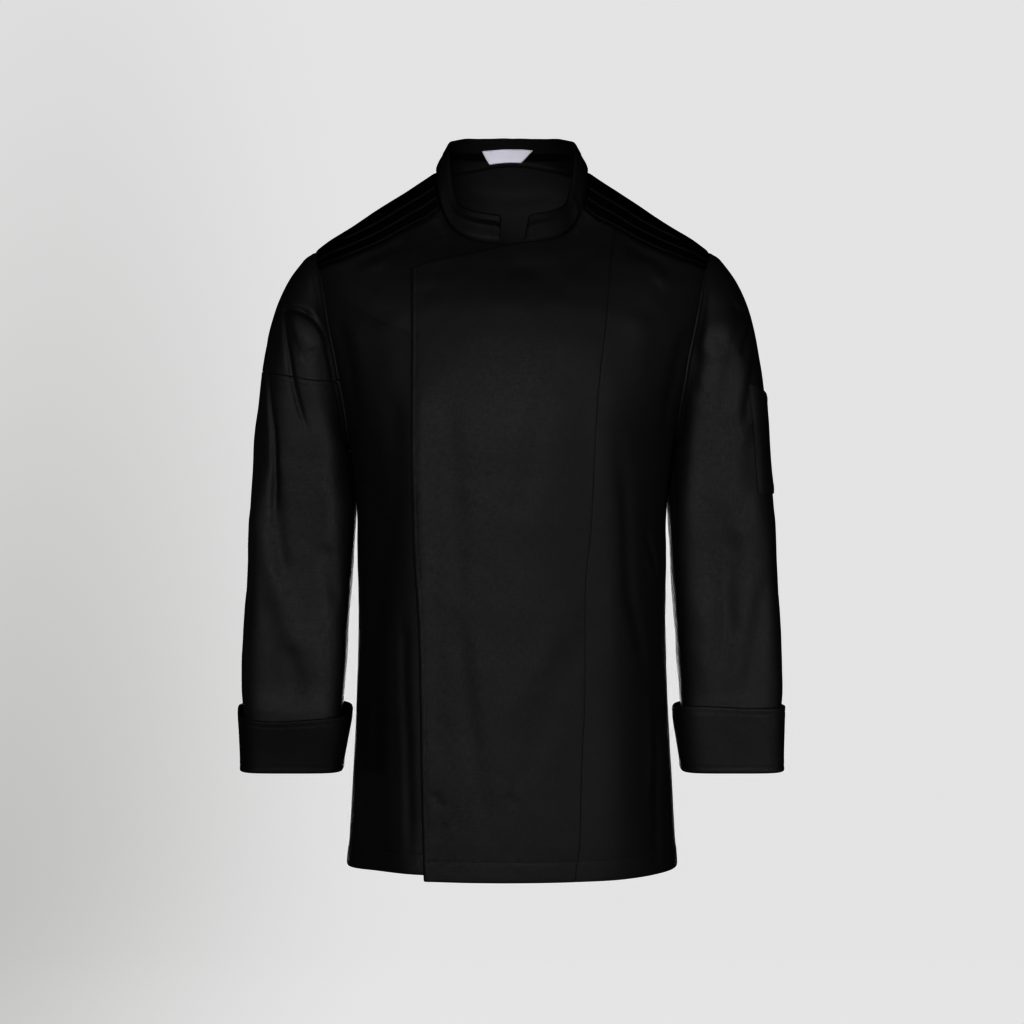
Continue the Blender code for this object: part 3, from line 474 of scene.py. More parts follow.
def joined(*seams):
    return np.concatenate([seams[0]] + [seam[1:] for seam in seams[1:]])


LEFT_NECK_TURN = float(front_turn(np.array(NOTCH_HALF_WIDTH), np.array(NOTCH_HEIGHT)))
YOKE_NECK_TURN = float(front_turn(np.array(YOKE_SEAM[0].x), np.array(YOKE_SEAM[0].height)))
FRONT_NECK = neck_seam(np.linspace(LEFT_NECK_TURN, YOKE_NECK_TURN, 80))
SIDE_NECK = neck_seam(np.linspace(YOKE_NECK_TURN, SIDE_TURN, 60))
BACK_NECK = neck_seam(np.linspace(SIDE_TURN, 3 * SIDE_TURN, 160))


def yoke_seam():
    """The front edge of the shoulder strip, from the neck seam to the armhole."""
    at_neck, at_armhole = neck_seam([YOKE_NECK_TURN]), armhole(np.array([YOKE_ANGLE]))
    return np.concatenate([at_neck, front_seam(YOKE_SEAM[1:]), at_armhole])


def yoke_meets_princess():
    seam = yoke_seam()
    x = body_outside(seam[:, 0], seam[:, 1])[:, 0]
    along = lengths_along(seam)
    return float(np.interp(PRINCESS_SEAM[-1].x, x, along / along[-1]))


def shoulder_line():
    return np.linspace(neck_seam([SIDE_TURN])[0], armhole(np.array([0.0]))[0], 160)


def side_and_armhole(last_angle):
    """The side seam from the hem up, then the armhole up to an angle, at the front below a half turn."""
    bottom = armhole(np.array([HALF_TURN]))[0]
    side = np.linspace((SIDE_TURN, HEM_HEIGHT), bottom, 120)
    return joined(side, armhole(np.linspace(HALF_TURN, last_angle, 80)))


def princess_seam():
    meets = spread(yoke_seam(), [yoke_meets_princess()])
    return np.concatenate([front_seam(PRINCESS_SEAM)[:-2], meets])


def mirrored(seam):
    return seam * np.array([-1.0, 1.0])


# Folds

FOLD_SAMPLES = 28
NEAREST_SAMPLES = 4
# How many times its width a fold reaches, how much of its length it takes to rise and to die away, and where
# its lip stands and how broad it is, in widths
FOLD_REACH = 5
FOLD_RISE = 0.22
FOLD_FADE = 0.28
LIP_PLACE = 1.9
LIP_BREADTH = 1.2


class FoldLine:
    """A fold's path laid on a surface, with its profile."""

    def __init__(self, fold, surface, facing, depth_share=1.0):
        path = np.array(fold.path, float)
        steps = np.linalg.norm(np.diff(path, axis=0), axis=1)
        along = np.concatenate([[0], np.cumsum(steps)])
        even = np.linspace(0, along[-1], FOLD_SAMPLES)
        across = smooth_curve(along, path[:, 0])(even)
        height = smooth_curve(along, path[:, 1])(even)
        seen = surface[surface[:, 1] * facing > 0]
        points = []
        for x, z in zip(across, height):
            far = np.hypot(seen[:, 0] - x, seen[:, 2] - z)
            near = np.argsort(far)[:NEAREST_SAMPLES]
            weight = 1 / (far[near] + 1e-4)
            y = float(np.sum(seen[near, 1] * weight) / np.sum(weight))
            points.append((x, y, z))
        self.points = np.array(points)
        self.fold = fold._replace(depth=fold.depth * depth_share)

    def lift(self, points):
        """How far each point moves outwards."""
        fold = self.fold
        low = self.points.min(axis=0) - FOLD_REACH * fold.width
        high = self.points.max(axis=0) + FOLD_REACH * fold.width
        moved = np.zeros(len(points))
        near = np.all((points > low) & (points < high), axis=1)
        if not near.any():
            return moved
        p = points[near]
        best = np.full(len(p), np.inf)
        place = np.zeros(len(p))
        side = np.zeros(len(p))
        count = len(self.points) - 1
        for i in range(count):
            a, b = self.points[i], self.points[i + 1]
            run = b - a
            t = np.clip(((p - a) @ run) / max(run @ run, 1e-12), 0, 1)
            away = p - (a + t[:, None] * run)
            far = np.linalg.norm(away, axis=1)
            closer = far < best
            best = np.where(closer, far, best)
            place = np.where(closer, (i + t) / count, place)
            side = np.where(closer, np.sign(away[:, 0] + 0.3 * away[:, 2]), side)
        fade = eased(place / FOLD_RISE) * eased((1 - place) / FOLD_FADE)
        trough = np.exp(-((best / fold.width) ** 2))
        lip_side = side * np.sign(fold.lip)
        lip = np.exp(-(((best * lip_side) / fold.width - LIP_PLACE) / LIP_BREADTH) ** 2) if fold.lip else 0.0
        moved[near] = fade * fold.depth * (abs(fold.lip) * lip - trough)
        return moved


def ripple(points, seed, size, height):
    """A gentle unevenness of the cloth, the same wherever two pieces meet."""
    chance = np.random.default_rng(seed)
    total = np.zeros(points.shape[:-1])
    for _ in range(9):
        wave = unit(chance.normal(size=3)) * 2 * math.pi / (size * chance.uniform(0.6, 1.6))
        total += np.sin(points @ wave + chance.uniform(0, 2 * math.pi))
    return total * height / 3


def rough_grid(surface, first, last, heights):
    a, b = np.meshgrid(np.linspace(first, last, 150), np.linspace(*heights, 190))
    return surface(a.ravel(), b.ravel())


# Panels

# Distances from an edge at which the cloth's rows or columns lie. The first is how far the edge stands back.
SEAM_STEPS = (0.00036, 0.0008, 0.0014, 0.0024, 0.0040)
FREE_STEPS = (0.0, 0.0006, 0.0016, 0.0032, 0.0050, 0.0060, 0.0070, 0.0082)
HEM_STEPS = (
    0.0, 0.0006, 0.0016, 0.0036, 0.0070, 0.0110, 0.0150, 0.0182, 0.0192, 0.0200, 0.0208, 0.0218, 0.0245,
)


def targets(length, start, end, count):
    """Places along lines of these lengths: fixed distances from both ends and even steps between."""
    length = np.asarray(length, float)[:, None]
    shrink = np.minimum(1, 0.8 * length / (start[-1] + end[-1] + 1e-9))
    first = np.array(start)[None, :] * shrink
    last = length - np.array(end[::-1])[None, :] * shrink
    share = np.linspace(0, 1, count + 1)[None, 1:-1]
    return np.concatenate([first, first[:, -1:] * (1 - share) + last[:, :1] * share, last], axis=1)


def respaced(grid, surface, start, end, count):
    """Each row of a grid of surface places moved onto the same distances from its two ends."""
    points = surface(grid[..., 0], grid[..., 1])
    steps = np.linalg.norm(np.diff(points, axis=1), axis=-1)
    along = np.concatenate([np.zeros((len(grid), 1)), np.cumsum(steps, axis=1)], axis=1)
    wanted = targets(along[:, -1], start, end, count)
    rows = [[np.interp(w, a, row[:, i]) for i in range(2)] for w, a, row in zip(wanted, along, grid)]
    return np.array(rows).transpose(0, 2, 1)


def fitted(grid, surface, sides, rows, wrap=False, columns=0):
    """A patch's final grid. Sides gives the steps in from its left, right, bottom and top edges."""
    left, right, bottom, top = sides
    if not wrap:
        grid = respaced(grid, surface, left, right, columns)
    return respaced(grid.transpose(1, 0, 2), surface, bottom, top, rows).transpose(1, 0, 2)


def patch(bottom, top, left, right, across=90, upwards=240):
    """A fine grid of (turn, height) between four seams."""
    u = np.linspace(0, 1, across)
    v = np.linspace(0, 1, upwards)
    bottom, top = spread(bottom, u), spread(top, u)
    left, right = spread(left, v), spread(right, v)
    share = ((right[:, 1] - right[0, 1]) / (right[-1, 1] - right[0, 1]))[:, None, None]
    u = u[None, :, None]
    mix = (1 - share) * bottom[None] + share * top[None] + (1 - u) * left[:, None] + u * right[:, None]
    low = (1 - u) * bottom[0] + u * bottom[-1]
    high = (1 - u) * top[0] + u * top[-1]
    return mix - (1 - share) * low - share * high


def at_heights(seam, edge):
    """A seam's points at the rows of a panel's other edge, as high up in proportion."""
    share = (edge[:, 1] - edge[0, 1]) / (edge[-1, 1] - edge[0, 1])
    heights = seam[0, 1] + share * (seam[-1, 1] - seam[0, 1])
    return np.stack([np.interp(heights, seam[:, 1], seam[:, 0]), heights], axis=-1)


def distances(points):
    """How far each point of a grid lies from its bottom, top, left and right edge, along the cloth."""
    up = np.linalg.norm(np.diff(points, axis=0), axis=-1)
    over = np.linalg.norm(np.diff(points, axis=1), axis=-1)
    bottom = np.concatenate([np.zeros((1, points.shape[1])), np.cumsum(up, axis=0)])
    left = np.concatenate([np.zeros((points.shape[0], 1)), np.cumsum(over, axis=1)], axis=1)
    return bottom, bottom[-1] - bottom, left, left[:, -1:] - left


def seam_dip(distance, amount=SEAM_DIP, width=SEAM_WIDTH):
    """How far cloth turns down into a seam."""
    return -amount * np.exp(-((distance / width) ** 2))


def stitch_groove(distance, line, amount=STITCH_DIP):
    return -amount * np.exp(-(((distance - line) / STITCH_GROOVE) ** 2))


def grid_normals(points, wrap=False):
    if wrap:
        over = np.roll(points, -1, axis=1) - np.roll(points, 1, axis=1)
    else:
        over = np.gradient(points, axis=1)
    return unit(np.cross(over, np.gradient(points, axis=0)))


def border_of(rows, columns):
    """The grid's edge, once round, as (row, column)."""
    ring = [(0, j) for j in range(columns)]
    ring += [(i, columns - 1) for i in range(1, rows)]
    ring += [(rows - 1, j) for j in range(columns - 2, -1, -1)]
    ring += [(i, 0) for i in range(rows - 2, 0, -1)]
    return np.array(ring)


RIM_BULGE = 0.42


def rim_points(outer, inner, away):
    """Points round a wall's edge from its outer side to its inner side."""
    middle, half = (outer + inner) / 2, (outer - inner) / 2
    reach = np.linalg.norm(half, axis=-1, keepdims=True) * RIM_BULGE
    bends = (math.pi / 4, math.pi / 2, 3 * math.pi / 4)
    return [middle + half * math.cos(bend) + away * reach * math.sin(bend) for bend in bends]


def add_mesh(name, points, faces, corner_places, material):
    """A smooth mesh object of one cloth, with a place on the flat cloth for each corner of a face."""
    mesh = bpy.data.meshes.new(name)
    mesh.from_pydata(points.tolist(), [], faces)
    layer = mesh.uv_layers.new(name="cloth")
    layer.data.foreach_set("uv", np.ascontiguousarray(corner_places, np.float32).ravel())
    mesh.shade_smooth()
    mesh.materials.append(material)
    obj = bpy.data.objects.new(name, mesh)
    bpy.context.scene.collection.objects.link(obj)
    return obj


# More than any panel measures, for cloth that doesn't run once round a tube
NO_ROUND = 9.0


def build_mesh(name, points, quads, uvs, material, rounds=(NO_ROUND, NO_ROUND)):
    """A mesh object. Rounds are the cloth's lengths once round a tube, so that no face runs back over it."""
    places = uvs[quads]
    for axis in range(2):
        highest = places[..., axis].max(axis=1, keepdims=True)
        places[..., axis] += rounds[axis] * (places[..., axis] < highest - rounds[axis] / 2)
    return add_mesh(name, points, quads.tolist(), places, material)


def outward(points, quads, uvs):
    """The same faces, turned over if they point inwards, told by the volume they enclose."""
    a, b, c, d = (points[quads[:, k]] for k in range(4))
    volume = np.einsum("ij,ij->i", a, np.cross(b, c)).sum() + np.einsum("ij,ij->i", a, np.cross(c, d)).sum()
    return points, quads if volume > 0 else quads[:, ::-1], uvs


def closed_sheet(outer, inner, uv, wrap):
    """Points, faces and cloth places of a thin wall between two grids, with rounded edges."""
    rows, columns = outer.shape[:2]
    flat = rows * columns
    index = np.arange(flat).reshape(rows, columns)
    if wrap:
        next_column = np.roll(index, -1, axis=1)
        quads = np.stack([index[:-1], next_column[:-1], next_column[1:], index[1:]], axis=-1).reshape(-1, 4)
        rings = [np.stack([np.full(columns, 0), np.arange(columns)], axis=1)]
        rings.append(np.stack([np.full(columns, rows - 1), np.arange(columns)], axis=1)[::-1])
    else:
        corners = [index[:-1, :-1], index[:-1, 1:], index[1:, 1:], index[1:, :-1]]
        quads = np.stack(corners, axis=-1).reshape(-1, 4)
        rings = [border_of(rows, columns)]
    points = [outer.reshape(-1, 3), inner.reshape(-1, 3)]
    uvs = [uv.reshape(-1, 2), uv.reshape(-1, 2)]
    faces = [quads, quads[:, ::-1] + flat]
    total = 2 * flat
    for ring in rings:
        at = index[ring[:, 0], ring[:, 1]]
        p, q = outer.reshape(-1, 3)[at], inner.reshape(-1, 3)[at]
        along = unit(np.roll(p, -1, axis=0) - np.roll(p, 1, axis=0))
        away = unit(np.cross(along, unit(p - q)))
        chain = [at]
        for layer in rim_points(p, q, away):
            points.append(layer)
            uvs.append(uv.reshape(-1, 2)[at])
            chain.append(np.arange(total, total + len(at)))
            total += len(at)
        chain.append(at + flat)
        for above, below in zip(chain[:-1], chain[1:]):
            faces.append(np.stack([above, below, np.roll(below, -1), np.roll(above, -1)], axis=1))
    return outward(np.concatenate(points), np.concatenate(faces), np.concatenate(uvs))


def cloth_places(points, middle=0.5):
    """Each grid point's place on the flat cloth, in metres."""
    bottom, _, left, _ = distances(points)
    column = round(middle * (points.shape[1] - 1))
    up = np.broadcast_to(bottom[:, column : column + 1], left.shape)
    return np.stack([left - middle * left[:, -1:], up], axis=-1)


# Trunk pieces

TRUNK_SAMPLE = rough_grid(body_outside, 0, 2 * HALF_TURN, (HEM_HEIGHT - 0.01, 0.0))
TRUNK_FOLD_LINES = [FoldLine(fold, TRUNK_SAMPLE, -1, TRUNK_FOLD_SHARE) for fold in TRUNK_FRONT_FOLDS]
TRUNK_FOLD_LINES += [FoldLine(fold, TRUNK_SAMPLE, -1) for fold in TRUNK_TURNS]
TRUNK_FOLD_LINES += [FoldLine(fold, TRUNK_SAMPLE, 1) for fold in TRUNK_BACK_FOLDS]


def unevenness(points):
    """Broad and fine unevenness. Each ripple has its seed, its size and its height."""
    return ripple(points, 11, 0.090, 0.00045) + ripple(points, 12, 0.034, 0.00012)


def folds_at(points, lines):
    flat = points.reshape(-1, 3)
    total = unevenness(flat)
    for line in lines:
        total += line.lift(flat)
    return total.reshape(points.shape[:-1])


OVERLAP_EASE = 0.085
OVERLAP_NECK_HEIGHT = -0.0575
OVERLAP_NECK_SLOPE = 0.16
OVERLAP_NECK_EASE = 0.014


def overlap_lift(points):
    """How far the overlapping front stands off the front beneath it, easing down beyond."""
    x, height = points[..., 0], points[..., 2]
    past_reach = eased((OVERLAP_EASE - x) / OVERLAP_EASE)
    edge = OVERLAP_NECK_HEIGHT - OVERLAP_NECK_SLOPE * np.clip(x - NOTCH_HALF_WIDTH, 0, None)
    below_neck = np.where(x > NOTCH_HALF_WIDTH, eased((edge - height) / OVERLAP_NECK_EASE), 1.0)
    return OVERLAP_LIFT * past_reach * below_neck


PUCKER_SEED = 31
PUCKER_SIZE = 0.0085
PUCKER_REACH = 0.007


def pucker(points, distance, line, height):
    """Small gathers that a row of stitches draws up."""
    wave = ripple(points.reshape(-1, 3), PUCKER_SEED, PUCKER_SIZE, height).reshape(distance.shape)
    return wave * np.exp(-(((distance - line) / PUCKER_REACH) ** 2))


PRESSED_DIP = 0.00012
PRESSED_WIDTH = 0.0011

# An edge folded in and sewn: its row of stitches, how far in it is doubled and how much that raises it, the
# height of its gathers, and how much and over what width it rolls in at the very edge
FoldedEdge = namedtuple("FoldedEdge", "line doubled raised gathers roll roll_width")
FOLDED_EDGES = {
    "hem": FoldedEdge(HEM_FOLD, HEM_FOLD - 0.0006, 0.00035, 0.00022, 0.0004, 0.0012),
    "folded": FoldedEdge(0.0060, 0.0066, 0.0002, 0.00012, 0.0015, 0.0013),
}
DOUBLED_EASE = 0.0012


def edge_shape(kind, distance, points):
    """What one kind of edge adds to the cloth's height and to its thickness."""
    if kind == "plain":
        return 0.0, 0.0
    if kind == "seam":
        return seam_dip(distance), 0.0
    if kind == "pressed":
        return seam_dip(distance, PRESSED_DIP, PRESSED_WIDTH), 0.0
    edge = FOLDED_EDGES[kind]
    inside = 1 - eased((distance - edge.doubled) / DOUBLED_EASE)
    raised = edge.raised * inside + stitch_groove(distance, edge.line)
    raised = raised + pucker(points, distance, edge.line, edge.gathers)
    return raised - edge.roll * np.exp(-((distance / edge.roll_width) ** 2)), (FOLDED_CLOTH - CLOTH) * inside


EDGE_STEPS = {
    "seam": SEAM_STEPS, "pressed": SEAM_STEPS, "hem": HEM_STEPS, "folded": FREE_STEPS,
    "plain": (0.0, 0.0012, 0.0032),
}


def edge_first(grid, edge, back=False):
    """The grid turned so that this edge is its first row, or turned back."""
    turned = edge in ("left", "right")
    if turned and not back:
        grid = grid.swapaxes(0, 1)
    if edge in ("top", "right"):
        grid = grid[::-1]
    if turned and back:
        grid = grid.swapaxes(0, 1)
    return grid


ALLOWANCE_REACH = 0.0032
ALLOWANCE_CLOTH = 0.0009
MIRROR = np.array([-1.0, 1.0, 1.0])


class Piece:
    """A piece's outer side, as made, kept so that stitches and trims can be laid on it."""

    def __init__(self, outer, thickness, uv, wrap=False):
        self.outer = outer
        self.normals = grid_normals(outer, wrap)
        self.inner = outer - self.normals * np.broadcast_to(thickness, outer.shape[:2])[..., None]
        self.uv = uv
        self.wrap = wrap
        self.turned_under = {}

    def mirrored(self):
        twin = Piece(self.outer * MIRROR, 0.0, self.uv * MIRROR[:2], self.wrap)
        twin.normals = self.normals * MIRROR
        twin.inner = self.inner * MIRROR
        twin.turned_under = {edge: rows * MIRROR for edge, rows in self.turned_under.items()}
        return twin

    def turn_under(self, edge, reach=ALLOWANCE_REACH):
        """Give an edge its seam allowance, which lies under the neighbouring cloth."""
        outer, normals = edge_first(self.outer, edge), edge_first(self.normals, edge)
        away = unit(outer[0] - outer[2])
        reach = np.broadcast_to(reach, len(away))[:, None]
        far = outer[0] - 0.0019 * normals[0] + reach * away
        near = outer[0] - 0.0012 * normals[0] + 0.0003 * away
        thin = ALLOWANCE_CLOTH * normals[0]
        self.turned_under[edge] = np.stack([[far, near], [far - thin, near - thin]])

    def object(self, name, material, rounds):
        outer, inner, uv = self.outer, self.inner, self.uv
        for edge, rows in self.turned_under.items():
            places = edge_first(uv, edge)
            uv = edge_first(np.concatenate([places[:1], places[:1], places]), edge, back=True)
            outer = edge_first(np.concatenate([rows[0], edge_first(outer, edge)]), edge, back=True)
            inner = edge_first(np.concatenate([rows[1], edge_first(inner, edge)]), edge, back=True)
        rows, columns = outer.shape[:2]
        self.faces_out = (rows - 1) * (columns if self.wrap else columns - 1)
        solid = closed_sheet(outer, inner, uv, self.wrap)
        return build_mesh(name, *solid, material, rounds)


def trunk_piece(seams, edges, size, mirror=False, out=None):
    """A trunk panel between its bottom, top, left and right seams, its edges of these kinds.

    Size is its number of columns and rows between the edges' own steps.
    """
    bottom, top, left, right = seams
    kinds = dict(zip(("bottom", "top", "left", "right"), edges))
    sides = [EDGE_STEPS[kinds[side]] for side in ("left", "right", "bottom", "top")]
    grid = fitted(patch(bottom, top, left, right), body_outside, sides, size[1], columns=size[0])
    base = body_outside(grid[..., 0], grid[..., 1])
    normal = body_normal(grid[..., 0], grid[..., 1])
    lift = folds_at(base * MIRROR if mirror else base, TRUNK_FOLD_LINES)
    if out is not None:
        lift = lift + out(base)
    thickness = np.full(base.shape[:2], CLOTH)
    for side, distance in zip(("bottom", "top", "left", "right"), distances(base)):
        raised, thicker = edge_shape(kinds[side], distance, base)
        lift = lift + raised
        thickness = thickness + thicker
    outer = base + lift[..., None] * normal
    piece = Piece(outer, thickness, cloth_places(base))
    return piece.mirrored() if mirror else piece


def hem_between(start, end, rise=0.0):
    """The hem between two turns, a little higher up over its first part where there is a rise."""
    share = np.linspace(0, 1, 200)
    return np.stack([start + (end - start) * share, HEM_HEIGHT + rise * eased((1 - share) / 0.42)], axis=-1)


def over_front():
    """The wearer's left centre front, with the overlap."""
    meets = yoke_meets_princess()
    shoulder = spread(yoke_seam(), np.linspace(0, meets, 60))
    right = joined(princess_seam(), shoulder[::-1])
    left = at_heights(front_seam(OVERLAP_EDGE), spread(right, np.linspace(0, 1, 300)))
    top = joined(front_seam(OVERLAP_TOP), FRONT_NECK)
    seams = (hem_between(left[0, 0], right[0, 0]), top, left, right)
    return trunk_piece(seams, ("hem", "seam", "folded", "pressed"), (58, 224), out=overlap_lift)


def side_front_left():
    right = side_and_armhole(YOKE_ANGLE)
    left = at_heights(princess_seam(), spread(right, np.linspace(0, 1, 300)))
    top = spread(yoke_seam(), np.linspace(yoke_meets_princess(), 1, 80))
    seams = (hem_between(left[0, 0], right[0, 0]), top, left, right)
    piece = trunk_piece(seams, ("hem", "seam", "pressed", "seam"), (38, 218))
    piece.turn_under("left")
    return piece


def under_front():
    """The wearer's right front, worked out on the left and mirrored."""
    right = joined(side_and_armhole(YOKE_ANGLE), yoke_seam()[::-1])
    heights = np.linspace(HEM_HEIGHT + UNDER_HEM_RISE, UNDER_FRONT_TOP, 200)
    hidden_edge = np.stack([front_turn(-UNDER_FRONT_REACH, heights), heights], axis=-1)
    left = at_heights(hidden_edge, spread(right, np.linspace(0, 1, 300)))
    top = joined(np.stack([left[-1], FRONT_NECK[0]]), FRONT_NECK)
    seams = (hem_between(left[0, 0], right[0, 0], UNDER_HEM_RISE), top, left, right)
    return trunk_piece(seams, ("hem", "seam", "plain", "seam"), (80, 220), mirror=True)


def back_panel():
    near = joined(side_and_armhole(2 * HALF_TURN), shoulder_line()[::-1])
    far = mirrored(near) + np.array([2 * HALF_TURN, 0.0])
    seams = (hem_between(near[0, 0], far[0, 0]), BACK_NECK, near, far)
    piece = trunk_piece(seams, ("hem", "seam", "seam", "seam"), (126, 236))
    for edge in ("left", "right"):
        y, height = np.moveaxis(edge_first(piece.outer, edge)[0][:, 1:], -1, 0)
        out = (height - ARMHOLE_HEIGHT) / ARMHOLE_HALF_HEIGHT
        out = np.hypot((y - ARMHOLE_MIDDLE) / ARMHOLE_HALF_WIDTH, out)
        piece.turn_under(edge, 0.0003 + 0.0029 * eased(np.abs(out - 1) / 0.06 - 0.3))
    return piece


def shoulder_seams():
    """The seams of the forward strip of a shoulder, from the neck to the armhole."""
    arm = armhole(np.linspace(YOKE_ANGLE, 0, 160))
    return (yoke_seam(), shoulder_line(), SIDE_NECK, arm)


def shoulder(mirror):
    piece = trunk_piece(shoulder_seams(), ("seam", "seam", "seam", "seam"), (60, 24), mirror)
    piece.turn_under("bottom")
    return piece


# Sleeves, worked out on the wearer's left and mirrored for the right


def sleeve_ring(angle, height):
    """A level ring of the sleeve, rounder at its top and flatter across its front and back lower down."""
    cosine, sine = np.cos(angle), np.sin(angle)
    power = CAP_SQUARENESS + (SLEEVE_SQUARENESS - CAP_SQUARENESS) * eased((CAP_END - height) / 0.08)
    reach = (np.abs(cosine) ** power + np.abs(sine) ** power) ** (-1 / power)
    x = sleeve_middle_x(height) + sleeve_half_width(height) * cosine * reach
    y = sleeve_middle_y(height) - sleeve_half_depth(height) * sine * reach
    return np.stack(np.broadcast_arrays(x, y, height), axis=-1)


def sleeve_start(angle):
    """Where the sleeve begins at the armhole, and the way it leaves it."""
    seam = armhole(angle)
    cosine, sine = np.cos(angle), np.sin(angle)
    upwards = -0.33 + 0.2 * cosine - 0.41 * cosine**2
    leaving = unit(np.stack([0.6 + 0.25 * cosine, -0.5 * sine, upwards], axis=-1))
    normal = body_normal(seam[..., 0], seam[..., 1])
    off_trunk = UNDERARM_CLEAR * (1 - cosine[..., None]) / 2 * normal
    start = body_outside(seam[..., 0], seam[..., 1]) + 0.00045 * leaving + off_trunk
    return start, leaving, normal


def sleeve_surface(angle, place):
    """The sleeve's surface: a cap that leaves the armhole outwards and comes upright into level rings."""
    angle, place = np.broadcast_arrays(np.asarray(angle, float), np.asarray(place, float))
    start, leaving, _ = sleeve_start(angle)
    cosine = np.cos(angle)[..., None]
    end = sleeve_ring(angle, np.full(angle.shape, CAP_END))
    first = start + (CAP_PULL + CAP_PULL_CHANGE * cosine) * leaving
    second = end + (CAP_DROP + CAP_DROP_CHANGE * cosine) * CAP_UPRIGHT
    t = np.clip(place, 0, 1)[..., None]
    cap = (1 - t) ** 3 * start + 3 * t * (1 - t) ** 2 * first + 3 * t * t * (1 - t) * second + t**3 * end
    down = CAP_END + (SLEEVE_END - CAP_END) * np.clip(place - 1, 0, None)
    return np.where(place[..., None] <= 1, cap, sleeve_ring(angle, down))


def sleeve_normal(angle, place):
    small = 1e-4
    by_angle = sleeve_surface(angle + small, place) - sleeve_surface(angle - small, place)
    by_place = sleeve_surface(angle, place + small) - sleeve_surface(angle, np.maximum(place - small, 0))
    return unit(np.cross(by_angle, by_place))


def place_at(angle, height):
    """The place along the sleeve that lies at a height."""
    low, high = np.zeros(np.shape(angle)), np.full(np.shape(angle), 2.0)
    for _ in range(40):
        middle = (low + high) / 2
        above = sleeve_surface(angle, middle)[..., 2] > height
        low = np.where(above, middle, low)
        high = np.where(above, high, middle)
    return (low + high) / 2


# The level seam is pressed nearly flat
LEVEL_DIP = 0.12 * SEAM_DIP
LEVEL_LINE = 0.0060
LEVEL_GROOVE = 0.00012
LEVEL_GATHERS = 0.00010
ARMHOLE_LINE = 0.0062
UNDER_CUFF_TOP = -0.556
SLEEVE_COLUMNS = 190
# How far it is round a sleeve's cloth
SLEEVE_ROUND = 0.345
SLEEVE_ANGLES = np.arange(SLEEVE_COLUMNS) * 2 * math.pi / SLEEVE_COLUMNS
SLEEVE_SAMPLE = sleeve_surface(*[grid.ravel() for grid in np.meshgrid(SLEEVE_ANGLES, np.linspace(0, 2, 260))])


def soft_floor(value, floor, width):
    """A value that eases off above a floor instead of passing it."""
    return floor + width * np.logaddexp(0, (value - floor) / width)


class Sleeve:
    """One sleeve's cloth, with its folds, joined smoothly to the trunk's at the armhole."""

    def __init__(self, front_folds, side):
        self.lines = [FoldLine(fold, SLEEVE_SAMPLE, -1, SLEEVE_FOLD_SHARE) for fold in front_folds]
        self.lines += [FoldLine(fold, SLEEVE_SAMPLE, 1) for fold in SLEEVE_BACK_FOLDS]
        self.side = side

    def cloth(self, angle, place, out=0.0):
        base = sleeve_surface(angle, place)
        normal = sleeve_normal(angle, place)
        start, _, trunk_normal = sleeve_start(np.broadcast_to(angle, place.shape))
        near = np.linalg.norm(base - start, axis=-1)
        flat = base.reshape(-1, 3)
        lift = unevenness(flat * self.side)
        for line in self.lines:
            lift += line.lift(flat)
        lift = lift.reshape(near.shape)
        under_cuff = eased((UNDER_CUFF_TOP - base[..., 2]) / 0.014)
        lift = lift * (1 - under_cuff) - 0.5 * under_cuff * soft_floor(-lift, 0.0, 0.0005)
        joins = 1 - eased(near / 0.016)
        trunk_lift = folds_at(start[:1] * self.side, TRUNK_FOLD_LINES)
        ease = 0.0009 * np.exp(-((near - 0.011) / 0.0075) ** 2) * eased(np.cos(angle) + 0.5)
        dip = seam_dip(near) + stitch_groove(near, ARMHOLE_LINE) + ease
        along = (lift * (1 - joins) + dip + out)[..., None] * normal
        return base + along + (joins * trunk_lift)[..., None] * trunk_normal[:1]

    def piece(self, grid, sides, rows, wrap, kinds=("seam", "plain")):
        """A part of the sleeve, from the armhole or the level seam down, as the first of its kinds says."""
        grid = fitted(grid, sleeve_surface, sides, rows, wrap, columns=140)
        angle, place = grid[..., 0], grid[..., 1]
        base = sleeve_surface(angle, place)
        first, last = distances(base)[:2]
        outer = self.cloth(angle, place)
        if kinds[1] == "level":
            outer = outer + seam_dip(last, LEVEL_DIP)[..., None] * sleeve_normal(angle, place)
        if kinds[0] == "level":
            dip = seam_dip(first, LEVEL_DIP) + stitch_groove(first, LEVEL_LINE, LEVEL_GROOVE)
            dip = dip + pucker(base, first, 0.004, LEVEL_GATHERS)
            outer = outer + dip[..., None] * sleeve_normal(angle, place)
        uv = np.stack([angle / (2 * math.pi) * SLEEVE_ROUND, last], axis=-1)
        piece = Piece(outer, CLOTH, uv, wrap)
        piece.turn_under("bottom")
        at_armhole = place[0] < (0.03 if kinds[0] == "level" else np.inf)
        rows = self.under_trunk(angle[0], outer[0])
        piece.turned_under["bottom"] = np.where(at_armhole[:, None], rows, piece.turned_under["bottom"])
        return piece if self.side is LEFT else piece.mirrored()

    def under_trunk(self, angle, edge):
        """The sleeve's seam allowance at the armhole, turned outwards under the trunk's panels."""
        seam = armhole(angle)
        normal = body_normal(seam[:, 0], seam[:, 1])
        hole = body_outside(*armhole(np.array([0.0, HALF_TURN])).mean(axis=0))
        small = 1e-3
        ahead, behind = armhole(angle + small), armhole(angle - small)
        along = body_outside(ahead[:, 0], ahead[:, 1]) - body_outside(behind[:, 0], behind[:, 1])
        away = unit(np.cross(normal, along))
        away = away * np.sign(np.einsum("ij,ij->i", away, edge - hole))[:, None]
        near = edge - 0.0020 * normal + 0.0002 * away
        far = edge - 0.0026 * normal + 0.0042 * away
        return np.stack([[far, near], [far - ALLOWANCE_CLOTH * normal, near - ALLOWANCE_CLOTH * normal]])


